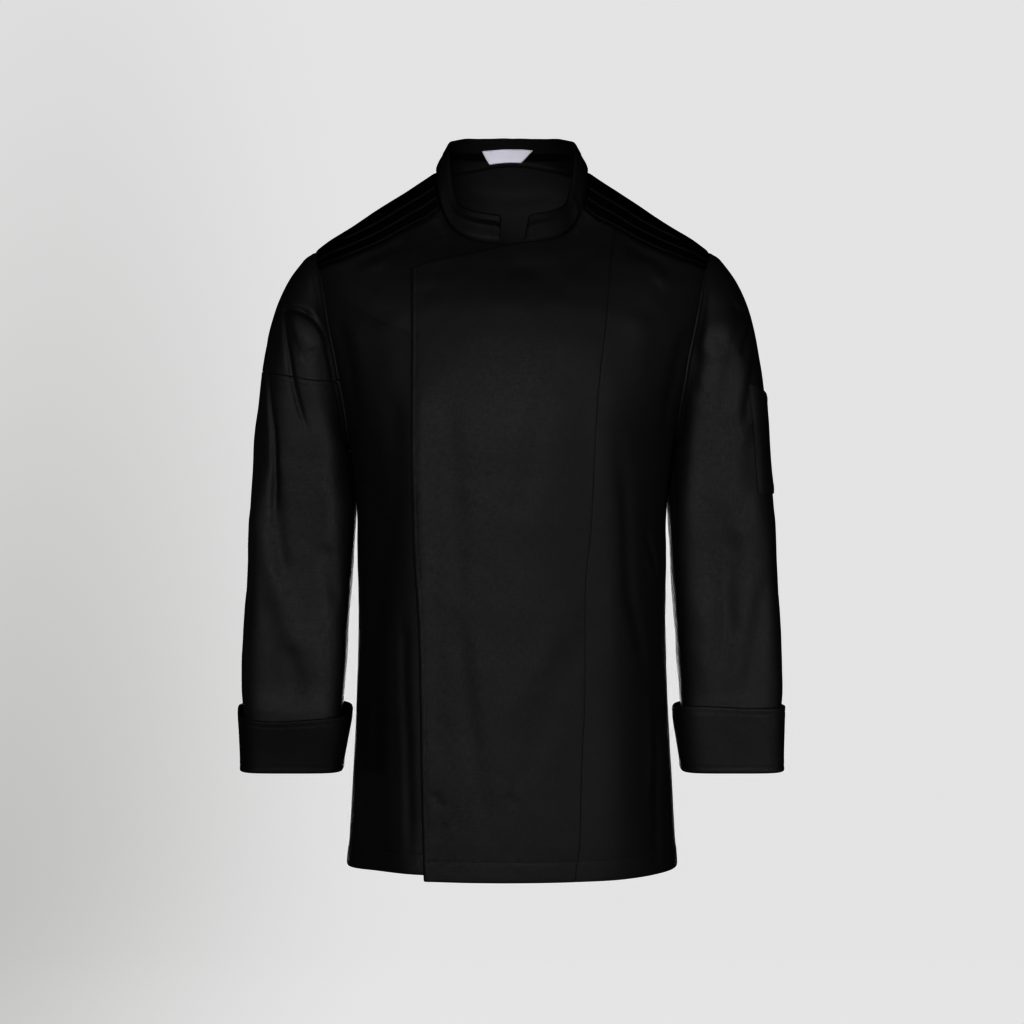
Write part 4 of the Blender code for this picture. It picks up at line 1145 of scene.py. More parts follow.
LEFT = np.ones(3)
SIDES = {"left": LEFT, "right": MIRROR}
SLEEVES = {"left": Sleeve(LEFT_SLEEVE_FRONT_FOLDS, LEFT), "right": Sleeve(RIGHT_SLEEVE_FRONT_FOLDS, MIRROR)}
FREE_EDGE = (0.0, 0.0012)


def sleeve_places(start):
    """A fine grid of (angle, place), each angle's column from its own start to the sleeve's end."""
    share = np.concatenate([np.linspace(0, 1, 130), np.linspace(1, 2, 130)[1:]])[:, None]
    cap = start[None, :] + (1 - start[None, :]) * np.minimum(share, 1)
    place = np.where(share <= 1, cap, share)
    angle = np.broadcast_to(SLEEVE_ANGLES[None, :], place.shape)
    return np.stack([angle, place], axis=-1)


def level_seam_place(angle):
    """The level seam's place along the sleeve, or 0 where it is above the armhole."""
    drop = LEVEL_SEAM_DROP * eased((1 - np.cos(angle)) / (1 - math.cos(LEVEL_SEAM_TIP)))
    return place_at(angle, LEVEL_SEAM_HEIGHT - drop)


ARMHOLE_STEPS = SEAM_STEPS + (0.0062, 0.0078)


def sleeve_left():
    grid = sleeve_places(np.zeros(SLEEVE_COLUMNS))
    return SLEEVES["left"].piece(grid, (None, None, ARMHOLE_STEPS, FREE_EDGE), 232, True)


SHORTEST_HEAD = 0.0012


def sleeve_right_upper():
    """The head of the right sleeve, as far round as it is long enough to sew."""
    angles = np.linspace(-1.15 * LEVEL_SEAM_TIP, 1.15 * LEVEL_SEAM_TIP, 401)
    ends = level_seam_place(angles)
    length = np.linalg.norm(sleeve_surface(angles, ends) - sleeve_surface(angles, 0 * ends), axis=-1)
    angles = angles[length > SHORTEST_HEAD]
    place = np.linspace(0, 1, 120)[:, None] * level_seam_place(angles)
    grid = np.stack(np.broadcast_arrays(angles, place), axis=-1)
    sides = (FREE_EDGE, FREE_EDGE, ARMHOLE_STEPS, SEAM_STEPS)
    return SLEEVES["right"].piece(grid, sides, 60, False, ("seam", "level"))


def sleeve_right_lower():
    start = level_seam_place(SLEEVE_ANGLES)
    start = np.where(start < 0.004, 0.0, start)
    sides = (None, None, SEAM_STEPS + (0.0054, 0.0060, 0.0068), FREE_EDGE)
    return SLEEVES["right"].piece(sleeve_places(start), sides, 214, True, ("level", "plain"))


# Cuffs

CUFF_TOP = -0.562
CUFF_BOTTOM = -0.6285
# How far the cuff's front stands up above its top, and how far its top stands off the sleeve
CUFF_DIP = {"left": -0.004, "right": 0.010}
CUFF_FLARE = {"left": 0.0012, "right": 0.0026}
CUFF_NEAR = 0.0006
CUFF_WING = 0.0048
CUFF_LIP = 0.0030
CUFF_TOP_ROUND = 0.0013
CUFF_BOTTOM_ROUND = 0.0016
CUFF_TOP_LINE = 0.0062
CUFF_BOTTOM_LINE = 0.0066
CUFF_FOLD_SHARE = 0.55
CUFF_ROWS = 40


def ring_outward(angle, height):
    small = 1e-4
    along = sleeve_ring(angle + small, height) - sleeve_ring(angle - small, height)
    outward = unit(np.stack([-along[..., 1], along[..., 0], 0 * along[..., 0]], axis=-1))
    turned = outward[..., 0] * np.cos(angle) - outward[..., 1] * np.sin(angle) < 0
    return np.where(turned[..., None], -outward, outward)


def cuff(side):
    """A turned-back cuff as one closed band: up its outer side, over its top, down inside, under the fold."""
    sleeve = SLEEVES[side]
    angle = SLEEVE_ANGLES[None, :]
    level = np.zeros(angle.shape)
    front = eased(np.sin(angle))
    inner_side = np.clip(-np.cos(angle), 0, None) ** 3
    top = CUFF_TOP - CUFF_DIP[side] * front + 0.0012 * np.sin(3 * angle + 1.1)
    share = np.linspace(0, 1, CUFF_ROWS)[:, None]
    near_bottom = CUFF_BOTTOM + CUFF_BOTTOM_ROUND
    height = near_bottom + (top - CUFF_TOP_ROUND - near_bottom) * share
    flare = CUFF_NEAR + (CUFF_FLARE[side] + CUFF_WING * inner_side - CUFF_NEAR) * eased(share**1.4)
    sag = 0.0022 * np.sin(math.pi * share) * np.cos(2 * angle + 0.6)
    base = sleeve_ring(angle, height)
    lift = unevenness(base.reshape(-1, 3) * sleeve.side).reshape(height.shape) * 0.8
    for line in sleeve.lines:
        lift += CUFF_FOLD_SHARE * line.lift(base.reshape(-1, 3)).reshape(height.shape)
    far = flare + CUFF_CLOTH + soft_floor(lift + sag, -0.0009, 0.0008)
    from_top, from_bottom = top - height, height - CUFF_BOTTOM
    far = far + stitch_groove(from_top, CUFF_TOP_LINE) + stitch_groove(from_bottom, CUFF_BOTTOM_LINE)
    far = far + pucker(base, from_top, CUFF_TOP_LINE, 0.00016)
    near = flare + soft_floor(lift + sag, -0.0004, 0.0006) * share

    def bent(start, radius, outside, inside, bends):
        """Rows round a bend from the cuff's outside to its inside."""
        middle, half = (outside + inside) / 2, (outside - inside) / 2
        turns = [math.radians(bend) for bend in bends]
        return [(start + radius * math.sin(turn), middle + half * math.cos(turn)) for turn in turns]

    lip_height = SLEEVE_END - 0.0002 + level
    rows = [(height, far)] + bent(height[-1:], CUFF_TOP_ROUND, far[-1:], near[-1:], (45, 90, 135))
    rows += [(height[:1:-1], near[:1:-1]), (lip_height, CUFF_NEAR + level), (lip_height, level - CUFF_LIP)]
    rows += bent(near_bottom, CUFF_BOTTOM_ROUND, far[:1], level - CUFF_LIP, (180, 210, 240, 270, 300, 330))
    away = np.concatenate([row[1] for row in rows])
    heights = np.concatenate([np.broadcast_to(row[0], row[1].shape) for row in rows])
    points = sleeve_ring(angle, heights) + away[..., None] * ring_outward(angle, heights)
    return points, np.broadcast_to(angle, heights.shape)


# Collar


def from_front(turn):
    """How far round from the front a turn is, on either side."""
    return np.abs((turn + HALF_TURN) % (2 * HALF_TURN) - HALF_TURN)


def collar_point(turn, share, inward=0.0):
    """A point of the collar's outer side at a share of its height, moved in towards the neck."""
    turn, share, inward = np.broadcast_arrays(turn, share, inward)
    base = body_outside(turn, neck_height(turn))
    place = from_front(turn)
    towards_neck = np.stack([-np.sin(turn), np.cos(turn), np.zeros(turn.shape)], axis=-1)
    shift = (collar_lean(place) * np.clip(share, 0, None) ** 1.3 + inward)[..., None] * towards_neck
    return base + shift + (COLLAR_SEAT + collar_rise(place) * share)[..., None] * np.array([0.0, 0.0, 1.0])


def collar_shift(turn):
    """How far the trunk's own folds move the collar's foot."""
    seam = body_outside(turn, neck_height(turn))
    return folds_at(seam, TRUNK_FOLD_LINES)[..., None] * body_normal(turn, neck_height(turn))


COLLAR_STEPS = (0.0, 0.0006, 0.0014, 0.0024, 0.0034, 0.0044, 0.0052, 0.0058, 0.0064, 0.0072, 0.0084, 0.0100)
COLLAR_CORNERS = (0.0060, 0.0030)
# The share of the collar's shift at its foot that is lost at its top
COLLAR_STEADIES = 0.6


def collar():
    """The stand. Its left front end slants, its right one is upright, and both have a rounded corner."""
    turns = np.linspace(LEFT_NECK_TURN, 2 * HALF_TURN - LEFT_NECK_TURN, 420)
    share = np.linspace(0, 1, 60)[:, None]
    from_left = np.linspace(1, 0, 420) ** 12
    slanted = turns + COLLAR_END_SLANT * share * from_left
    foot = collar_point(turns, 0.0)
    along = np.concatenate([[0], np.cumsum(np.linalg.norm(np.diff(foot, axis=0), axis=1))])
    lost = 0
    for distance, radius in zip((along, along[-1] - along), COLLAR_CORNERS):
        short = np.clip(radius - distance, 0, None)
        lost = lost + radius - np.sqrt(radius**2 - short**2)
    reached = share * (1 - lost / collar_rise(from_front(turns)))
    grid = np.stack(np.broadcast_arrays(slanted, reached), axis=-1)
    sides = (COLLAR_STEPS[:7], COLLAR_STEPS[:7], SEAM_STEPS, COLLAR_STEPS)
    grid = fitted(grid, collar_point, sides, 10, columns=190)
    turn, share = grid[..., 0], grid[..., 1]
    base = collar_point(turn, share)
    shift = collar_shift(turn[:1]) * (1 - share[..., None] * COLLAR_STEADIES)
    from_foot, from_top, from_left, from_right = distances(base)
    ends = np.exp(-((from_right / 0.050) ** 2)) + 0.6 * np.exp(-((from_left / 0.040) ** 2))
    sides_soft = np.exp(-(((np.abs(turn - HALF_TURN) - 1.75) / 0.30) ** 2))
    under_rim = eased((from_top - 0.0045) / 0.0065)
    lift = (0.0003 + 0.0027 * ends) * (1 - under_rim)
    lift = lift - (0.0003 + 0.0014 * ends) * under_rim * (1 - eased((from_top - 0.0110) / 0.0130))
    lift = lift + 0.0005 * sides_soft * np.exp(-(((from_top - 0.0175) / 0.0062) ** 2))
    lift = lift + seam_dip(from_foot, 0.0009, 0.0018)
    lift = lift + 1.2 * unevenness(base.reshape(-1, 3)).reshape(turn.shape)
    lift = lift - 0.0004 * np.exp(-((np.minimum(from_left, from_right) / 0.0010) ** 2))
    outer = base + shift + lift[..., None] * grid_normals(base)
    piece = Piece(outer, COLLAR_CLOTH, cloth_places(base))
    piece.inner = collar_point(turn, share, COLLAR_CLOTH) + shift
    foot = np.stack([piece.outer[0] + 0.62 * (piece.inner[0] - piece.outer[0]), piece.inner[0]])
    down = np.array([0.0, 0.0, 0.0010])
    piece.turned_under["bottom"] = np.stack([foot - 4.5 * down, foot - down], axis=1)
    return piece


def inside_collar(turns, share, near, thick):
    """A band against the inside of the collar, its visible side first."""
    base = collar_point(turns, share)
    shift = collar_shift(np.broadcast_to(turns, base.shape[:2])[:1])
    shift = shift * (1 - share[..., None] * COLLAR_STEADIES)
    piece = Piece(collar_point(turns, share, near + thick) + shift, 0.0, cloth_places(base))
    piece.inner = collar_point(turns, share, near) + shift
    return piece


TAPE_BOTTOM = 0.0140
TAPE_WIDTH = 0.0088
TAPE_ROWS = (0.0, 0.02, 0.07, 0.15, 0.27, 0.40, 0.44, 0.48, 0.52, 0.56, 0.68, 0.80, 0.90, 0.96, 0.985, 1.0)
TAPE_LINE = 0.48


def neck_tape():
    """A level tape round the back of the neck, with one row of stitches sunk along its middle."""
    turns = np.linspace(SIDE_TURN + 0.1, 3 * SIDE_TURN - 0.1, 200)[None, :]
    place = np.array(TAPE_ROWS)[:, None]
    height = TAPE_BOTTOM + TAPE_WIDTH * place
    share = np.clip((height - COLLAR_SEAT - neck_height(turns)) / collar_rise(from_front(turns)), -0.10, 0.92)
    full = 0.00035 * np.exp(-(((place - TAPE_LINE) / 0.40) ** 2))
    sunk = 0.0004 * np.exp(-(((place - TAPE_LINE) / 0.035) ** 2))
    return inside_collar(turns, share, COLLAR_CLOTH + 0.0004, 0.0008 + full - sunk)


LABEL_TOP = (0.022, -0.033)
LABEL_BOTTOM = (0.0095, -0.0244)
LABEL_REACH = 0.56
LABEL_CLOTH = 0.0005


def neck_label():
    """A plain label on the tape, wider at its top, and reaching this share of the way up the collar."""
    up = np.linspace(0, 1, 26)[:, None]
    across = np.linspace(0, 1, 60)[None, :]
    x_top = LABEL_TOP[0] + (LABEL_TOP[1] - LABEL_TOP[0]) * across
    x_bottom = LABEL_BOTTOM[0] + (LABEL_BOTTOM[1] - LABEL_BOTTOM[0]) * across
    low, high = np.arctan2(x_bottom, -0.056), np.arctan2(x_top, -0.050)
    low = np.where(low < 0, low + 2 * HALF_TURN, low)
    high = np.where(high < 0, high + 2 * HALF_TURN, high)
    turns = low + (high - low) * up
    piece = inside_collar(turns, np.broadcast_to(LABEL_REACH * up, turns.shape), COLLAR_CLOTH + 0.0022, 0.0)
    wave = 0.00025 * np.sin(across * 9.0 + 0.7) + 0.0006 * up**2
    border = np.minimum(np.minimum(across, 1 - across), np.minimum(up, 1 - up)) / 0.06
    forward = np.array([0.0, -1.0, 0.0])
    piece.outer = piece.outer + forward * (LABEL_CLOTH + 0.00055 * eased(border) + wave)[..., None]
    piece.outer[..., 2] -= 0.0010 * (1 - up)
    piece.inner = piece.outer - forward * LABEL_CLOTH
    return piece


# Shoulder ridges


def fold_point(grid, row, column):
    """A (turn, height) at fractions of a fine grid's rows and columns."""
    r = np.clip(row, 0, 1) * (grid.shape[0] - 1)
    c = np.clip(column, 0, 1) * (grid.shape[1] - 1)
    i, j = np.minimum(r.astype(int), grid.shape[0] - 2), np.minimum(c.astype(int), grid.shape[1] - 2)
    a, b = (r - i)[..., None], (c - j)[..., None]
    low = (1 - b) * grid[i, j] + b * grid[i, j + 1]
    high = (1 - b) * grid[i + 1, j] + b * grid[i + 1, j + 1]
    return (1 - a) * low + a * high


def trunk_cloth(turn, height, across):
    """The trunk's cloth with its folds, worked out on the wearer's left for either side."""
    base = body_outside(turn, height)
    normal = body_normal(turn, height)
    lift = folds_at(base * across, TRUNK_FOLD_LINES)
    return base + lift[..., None] * normal, normal


def piping(ridge, side):
    """Rings round a covered cord along the shoulder strip, narrowing at both ends, and their places."""
    last = ridge.reach - 0.006 if ridge.reach > 0.9 else ridge.reach
    along = np.linspace(0.012, last, 150)
    row = ridge.place_at_neck + (ridge.place_at_arm - ridge.place_at_neck) * along + 0.012 * np.sin(7 * along)
    path = fold_point(patch(*shoulder_seams()), row, along)
    centre, normal = trunk_cloth(path[:, 0], path[:, 1], side)
    forward = unit(np.gradient(centre, axis=0))
    across = unit(np.cross(forward, normal))
    length = np.concatenate([[0], np.cumsum(np.linalg.norm(np.diff(centre, axis=0), axis=1))])
    end = np.minimum(length, length[-1] - length)
    radius = PIPING_RADIUS * np.sqrt(np.clip(1 - (1 - np.clip(end / 0.0022, 0.02, 1)) ** 2, 0, 1))
    radius = radius * (1 + 0.07 * np.sin(length * 330) + 0.05 * np.sin(length * 791 + 1))
    turns = np.linspace(0, 2 * math.pi, 16, endpoint=False)
    lines = []
    for turn in turns:
        up = math.sin(turn) * (1.05 if math.sin(turn) > 0 else 0.35)
        lines.append(centre + radius[:, None] * (math.cos(turn) * across + up * normal) + 0.0003 * normal)
    places = np.stack(np.broadcast_arrays(turns * PIPING_RADIUS, length[:, None]), axis=-1)
    return np.stack(lines, axis=1) * side, places


# Pen pocket

POCKET_ANGLES = (math.radians(54), math.radians(-18))
POCKET_TOPS = (-0.222, -0.2488)
POCKET_BOTTOM = -0.337
POCKET_STEPS = (0.0, 0.0006, 0.0013, 0.0019, 0.0025, 0.0034, 0.0050)
POCKET_TOP_STEPS = (0.0, 0.0006, 0.0016, 0.0040, 0.0072, 0.0080, 0.0088, 0.0100)
POCKET_LINE = 0.0022
POCKET_TOP_LINE = 0.0080
POCKET_GROOVE = 0.0002
POCKET_CLOTH = 0.0011


def pen_pocket():
    """A narrow pocket on the left sleeve, its top edge sloping down to the outside."""
    share = np.linspace(0, 1, 120)[:, None]
    angle = np.linspace(*POCKET_ANGLES, 60)[None, :]
    top = np.linspace(*POCKET_TOPS, 60)[None, :]
    height = top + (POCKET_BOTTOM - top) * share
    angle = np.broadcast_to(angle, height.shape)
    grid = np.stack([angle, place_at(angle, height)], axis=-1)[:, ::-1]
    sides = (POCKET_STEPS, POCKET_STEPS, POCKET_TOP_STEPS, POCKET_STEPS)
    grid = fitted(grid, sleeve_surface, sides, 34, columns=24)
    base = sleeve_surface(grid[..., 0], grid[..., 1])
    from_top, from_bottom, from_left, from_right = distances(base)
    edge = np.minimum(np.minimum(from_left, from_right), from_bottom)
    rise = CLOTH + 0.0004 + 0.0005 * eased(edge / 0.004)
    rise = rise + 0.0004 * np.exp(-((from_top / 0.009) ** 2)) * eased(edge / 0.012)
    rise = rise + stitch_groove(edge, POCKET_LINE, POCKET_GROOVE)
    rise = rise + stitch_groove(from_top, POCKET_TOP_LINE, POCKET_GROOVE)
    outer = SLEEVES["left"].cloth(grid[..., 0], grid[..., 1], rise + pucker(base, edge, 0.003, 0.00012))
    return Piece(outer, POCKET_CLOTH, cloth_places(base))


# Materials


def node(tree, kind, sockets=(), **values):
    """A new node with these properties, and with its named inputs set or linked."""
    made = tree.nodes.new(kind)
    for name, value in values.items():
        setattr(made, name, value)
    for socket, value in dict(sockets).items():
        if hasattr(value, "is_output"):
            tree.links.new(value, made.inputs[socket])
        else:
            made.inputs[socket].default_value = value
    return made


def math_node(tree, operation, *values, clamp=False):
    return node(tree, "ShaderNodeMath", enumerate(values), operation=operation, use_clamp=clamp).outputs[0]


def noise(tree, place, scale, detail, roughness=0.5):
    sockets = {"Vector": place, "Scale": scale, "Detail": detail, "Roughness": roughness}
    return node(tree, "ShaderNodeTexNoise", sockets).outputs[0]


def mixed(tree, share, first, second, blend="MIX"):
    """A share of the second colour in the first."""
    sockets = {0: share, 6: first, 7: second}
    return node(tree, "ShaderNodeMix", sockets, data_type="RGBA", blend_type=blend).outputs[2]


def shader_group(name, place, numbers, results):
    """A node group that takes a place and these numbers, and gives these results."""
    tree = bpy.data.node_groups.new(name, "ShaderNodeTree")
    tree.interface.new_socket(name=place, in_out="INPUT", socket_type="NodeSocketVector")
    for socket, value in numbers.items():
        made = tree.interface.new_socket(name=socket, in_out="INPUT", socket_type="NodeSocketFloat")
        made.default_value = value
    for socket in results:
        tree.interface.new_socket(name=socket, in_out="OUTPUT", socket_type="NodeSocketFloat")
    return tree, node(tree, "NodeGroupInput").outputs


# How steep the twill's ribs are, and how much its second set of threads shows
TWILL_SLOPE = 0.62
PICK_PITCH = 1.7
PICK_HEIGHT = 0.18


def twill_group():
    """Diagonal ribs of twill, from the cloth's own places: their height, furrows and the yarn's grain."""
    numbers = {"Rib Size": 0.0009, "Slub": 0.5}
    tree, given = shader_group("twill_weave", "Cloth", numbers, ("Height", "Furrow", "Grain"))
    maths = partial(math_node, tree)
    threads = []
    for stretch in ((1.0, 0.22, 1.0), (0.22, 1.0, 1.0)):
        drawn = node(tree, "ShaderNodeVectorMath", {0: given["Cloth"], 1: stretch}, operation="MULTIPLY")
        threads.append(noise(tree, drawn.outputs[0], 620.0, 2.0))
    x, y, _ = node(tree, "ShaderNodeSeparateXYZ", {0: given["Cloth"]}).outputs
    slub = noise(tree, given["Cloth"], 260.0, 2.0)
    wander = maths("MULTIPLY", maths("SUBTRACT", slub, 0.5), given["Slub"])
    turns = maths("DIVIDE", 2 * math.pi, given["Rib Size"])
    slope = maths("MULTIPLY", y, TWILL_SLOPE)
    diagonal = maths("MULTIPLY", maths("ADD", x, slope), turns)
    wave = maths("SINE", maths("ADD", diagonal, maths("MULTIPLY", wander, 2.4)))
    rib = maths("MULTIPLY_ADD", wave, 0.5, 0.5)
    cross = maths("MULTIPLY", maths("SUBTRACT", y, slope), turns)
    pick = maths("MULTIPLY", maths("SINE", maths("MULTIPLY", cross, PICK_PITCH)), PICK_HEIGHT)
    node(tree, "NodeGroupOutput", {
        "Height": maths("ADD", maths("ADD", rib, pick), maths("MULTIPLY", wander, 0.6)),
        "Furrow": maths("SUBTRACT", 1.0, rib, clamp=True),
        "Grain": maths("SUBTRACT", maths("ADD", *threads), 1.0),
    })
    return tree


def wear_group():
    """Soft changes of shade over the cloth: broad washing, fine lint, and paler standing edges."""
    tree, given = shader_group("washed_shade", "Place", {"Broad Scale": 7.0, "Edge": 0.6}, ("Shade", "Lint"))
    maths = partial(math_node, tree)
    broad = noise(tree, given["Place"], given["Broad Scale"], 4.0, 0.62)
    fine = noise(tree, given["Place"], 900.0, 1.0)
    pointed = node(tree, "ShaderNodeNewGeometry").outputs["Pointiness"]
    edge = maths("MULTIPLY", maths("MULTIPLY", maths("SUBTRACT", pointed, 0.5), 7.0), given["Edge"])
    shade = maths("ADD", broad, edge, clamp=True)
    node(tree, "NodeGroupOutput", {"Shade": shade, "Lint": maths("GREATER_THAN", fine, 0.73)})
    return tree


FINISH_PARTS = "dark light lint rib rib_depth roughness_low roughness_high sheen specular edge"
Finish = namedtuple("Finish", FINISH_PARTS)
BLACK_TWILL = Finish(
    dark=(0.0042, 0.0042, 0.0043), light=(0.0075, 0.0075, 0.0077), lint=0.06, rib=0.00090, rib_depth=0.00007,
    roughness_low=0.56, roughness_high=0.64, sheen=0.0, specular=0.45, edge=0.12,
)
# A darker, less shiny copy of the black twill for the collar and the right cuff: painted shade where those
# parts fall dark
SHADED_TWILL = BLACK_TWILL._replace(
    dark=(0.0026, 0.0026, 0.0027), light=(0.0047, 0.0047, 0.0048), specular=0.28, edge=0.08
)
# The shoulders' cloth: the black twill made darker and less shiny, painted shade for the shoulders' tops,
# which face away from the light
SHADED_SHOULDER_TWILL = BLACK_TWILL._replace(
    dark=(0.0010, 0.0010, 0.0010), light=(0.0018, 0.0018, 0.0018),
    roughness_high=0.66, specular=0.09, edge=0.1,
)
# The ridges' cloth: the shoulders' darker copy made a little paler and shinier, still painted shade of the
# shaded shoulders
SHADED_PIPING_TWILL = SHADED_SHOULDER_TWILL._replace(
    dark=(0.0018, 0.0018, 0.0018), light=(0.0030, 0.0030, 0.0030), specular=0.18
)
# The cloth's reverse, far paler than its face: a little of that is the paler reverse of twill, most of it is
# painted light on the inside of the back seen through the neck
LIT_TWILL_INSIDE = BLACK_TWILL._replace(
    dark=(0.0270, 0.0270, 0.0275), light=(0.0400, 0.0400, 0.0408), lint=0.0,
    roughness_low=0.70, roughness_high=0.80, specular=0.30, edge=0.0,
)
# The neck tape's cloth, darker and duller than the jacket's: partly the tape's own black, partly painted
# shade that keeps its lower edge dark along the neck seam
BLACK_TAPE = Finish(
    dark=(0.0016, 0.0016, 0.0017), light=(0.0030, 0.0030, 0.0032), lint=0.05, rib=0.00130, rib_depth=0.00014,
    roughness_low=0.72, roughness_high=0.86, sheen=0.02, specular=0.06, edge=0.2,
)
PALE_LABEL = Finish(
    dark=(0.800, 0.785, 0.860), light=(0.880, 0.865, 0.940), lint=0.0, rib=0.00060, rib_depth=0.00004,
    roughness_low=0.44, roughness_high=0.58, sheen=0.10, specular=0.35, edge=0.0,
)
BLACK_THREAD = Finish(
    dark=(0.0140, 0.0140, 0.0150), light=(0.0240, 0.0240, 0.0255), lint=0.0, rib=0.00040, rib_depth=0.00005,
    roughness_low=0.42, roughness_high=0.56, sheen=0.05, specular=0.42, edge=0.0,
)
# The colour laid into the twill's furrows, darker than the cloth: painted shade in the weave's hollows
FURROW_PAINTED_SHADE = (0.35, 0.35, 0.35, 1.0)
LINT_COLOUR = (0.06, 0.06, 0.065, 1.0)
TWILL = twill_group()
WASHED = wear_group()


def cloth_material(name, finish, on_cloth=True):
    """A cloth. Its weave follows the flat cloth, or for thread, which has no places on it, plain space."""
    material = bpy.data.materials.new(name)
    material.use_nodes = True
    tree = material.node_tree
    maths = partial(math_node, tree)
    surface = tree.nodes["Principled BSDF"].inputs
    surface["Sheen Weight"].default_value = finish.sheen
    surface["Sheen Roughness"].default_value = 0.45
    surface["Specular IOR Level"].default_value = finish.specular
    space = node(tree, "ShaderNodeTexCoord").outputs["Object"]
    flat = node(tree, "ShaderNodeUVMap", uv_map="cloth").outputs["UV"] if on_cloth else space
    weave = node(tree, "ShaderNodeGroup", {"Cloth": flat, "Rib Size": finish.rib}, node_tree=TWILL).outputs
    wash = node(tree, "ShaderNodeGroup", {"Place": space, "Edge": finish.edge}, node_tree=WASHED).outputs
    colour = mixed(tree, wash["Shade"], finish.dark + (1.0,), finish.light + (1.0,))
    # The furrows of the weave are darkened with painted shade
    colour = mixed(tree, maths("MULTIPLY", weave["Furrow"], 0.30), colour, FURROW_PAINTED_SHADE, "MULTIPLY")
    colour = mixed(tree, maths("MULTIPLY", wash["Lint"], finish.lint), colour, LINT_COLOUR)
    ends = {"Value": wash["Shade"], "To Min": finish.roughness_high, "To Max": finish.roughness_low}
    rough = node(tree, "ShaderNodeMapRange", ends).outputs["Result"]
    relief = {"Strength": 1.0, "Distance": finish.rib_depth, "Height": weave["Height"]}
    tree.links.new(colour, surface["Base Color"])
    tree.links.new(maths("ADD", rough, maths("MULTIPLY", weave["Grain"], 0.24)), surface["Roughness"])
    tree.links.new(node(tree, "ShaderNodeBump", relief).outputs["Normal"], surface["Normal"])
    return material


cloth = cloth_material("black_twill", BLACK_TWILL)
tape = cloth_material("black_tape", BLACK_TAPE)
label = cloth_material("pale_label", PALE_LABEL)
thread = cloth_material("black_thread", BLACK_THREAD, on_cloth=False)
# The shoulders' material carries painted shade
shaded_shoulder_cloth = cloth_material("black_shoulder_twill_painted_shade", SHADED_SHOULDER_TWILL)
lit_cloth_inside = cloth_material("black_twill_inside_painted_light", LIT_TWILL_INSIDE)
shaded_cloth = cloth_material("black_twill_painted_shade", SHADED_TWILL)
shaded_piping_cloth = cloth_material("black_piping_twill_painted_shade", SHADED_PIPING_TWILL)


# Making the pieces

for thing in [thing for thing in bpy.data.objects if thing.type in ("LIGHT", "CAMERA")]:
    bpy.data.objects.remove(thing)

pieces = {
    "over_front": over_front(),
    "side_front_left": side_front_left(),
    "under_front": under_front(),
    "back_panel": back_panel(),
    "collar": collar(),
    "neck_tape": neck_tape(),
    "neck_label": neck_label(),
    "sleeve_left": sleeve_left(),
    "sleeve_right_upper": sleeve_right_upper(),
    "sleeve_right_lower": sleeve_right_lower(),
    "pen_pocket": pen_pocket(),
    "shoulder_left": shoulder(False),
    "shoulder_right": shoulder(True),
}
# The collar and the shoulders take darker copies of the black twill: painted shade
CLOTHS = {
    "collar": shaded_cloth, "neck_tape": tape, "neck_label": label,
    "shoulder_left": shaded_shoulder_cloth, "shoulder_right": shaded_shoulder_cloth,
}
TRUNK_PIECES = (
    "over_front", "side_front_left", "under_front", "back_panel", "shoulder_left", "shoulder_right",
)
made = {}
for name, piece in pieces.items():
    rounds = (SLEEVE_ROUND, NO_ROUND) if piece.wrap else (NO_ROUND, NO_ROUND)
    made[name] = piece.object(name + "_cloth", CLOTHS.get(name, cloth), rounds)
    if name in TRUNK_PIECES:
        # The faces of the outer side come first, and as many of the inner side follow them
        mesh = made[name].data
        # The inner side's faces take the pale inside cloth, which carries painted light
        mesh.materials.append(lit_cloth_inside)
        slots = np.zeros(len(mesh.polygons), np.int32)
        slots[piece.faces_out : 2 * piece.faces_out] = 1
        mesh.polygons.foreach_set("material_index", slots)


def cuff_object(side):
    """A cuff's folded section, carried round the sleeve."""
    points, angle = cuff(side)
    rows, columns = points.shape[:2]
    index = np.arange(rows * columns).reshape(rows, columns)
    next_row, next_column = np.roll(index, -1, axis=0), np.roll(index, -1, axis=1)
    both = np.roll(next_row, -1, axis=1)
    quads = np.stack([index, next_column, both, next_row], axis=-1).reshape(-1, 4)
    steps = np.linalg.norm(np.diff(points, axis=0), axis=-1)
    along = np.concatenate([np.zeros((1, columns)), np.cumsum(steps, axis=0)])
    uv = np.stack([angle / (2 * math.pi) * SLEEVE_ROUND, along], axis=-1)
    solid = outward((points * SIDES[side]).reshape(-1, 3), quads, uv.reshape(-1, 2))
    # The right cuff takes the darker copy of the cloth: painted shade
    finish = cloth if side == "left" else shaded_cloth
    return build_mesh(f"cuff_{side}_cloth", *solid, finish, (SLEEVE_ROUND, float(along.max()) + 0.001))


def piping_object(name, ridge, side):
    """A ridge as a closed tube of rings, with a fan of faces over each end."""
    points, uv = piping(ridge, SIDES[side])
    rings, columns = points.shape[:2]
    index = np.arange(rings * columns).reshape(rings, columns)
    after = np.roll(index, -1, axis=1)
    quads = np.stack([index[:-1], after[:-1], after[1:], index[1:]], axis=-1).reshape(-1, 4)
    start = np.stack([after[0], index[0], np.full(columns, index.size)], axis=1)
    end = np.stack([index[-1], after[-1], np.full(columns, index.size + 1)], axis=1)
    faces = quads.tolist() + start.tolist() + end.tolist()
    if side == "left":
        faces = [face[::-1] for face in faces]
    points = np.concatenate([points.reshape(-1, 3), points[[0, -1]].mean(axis=1)])
    places = np.concatenate([uv.reshape(-1, 2), uv[[0, -1], 0]])
    return add_mesh(name, points, faces, np.concatenate([places[face] for face in faces]), shaded_piping_cloth)


for side in SIDES:
    made["cuff_" + side] = cuff_object(side)
    for number, ridge in enumerate(PIPINGS, start=1):
        name = f"piping_{side}_{number}"
        made[name] = piping_object(name + "_cloth", ridge, side)


# Stitches

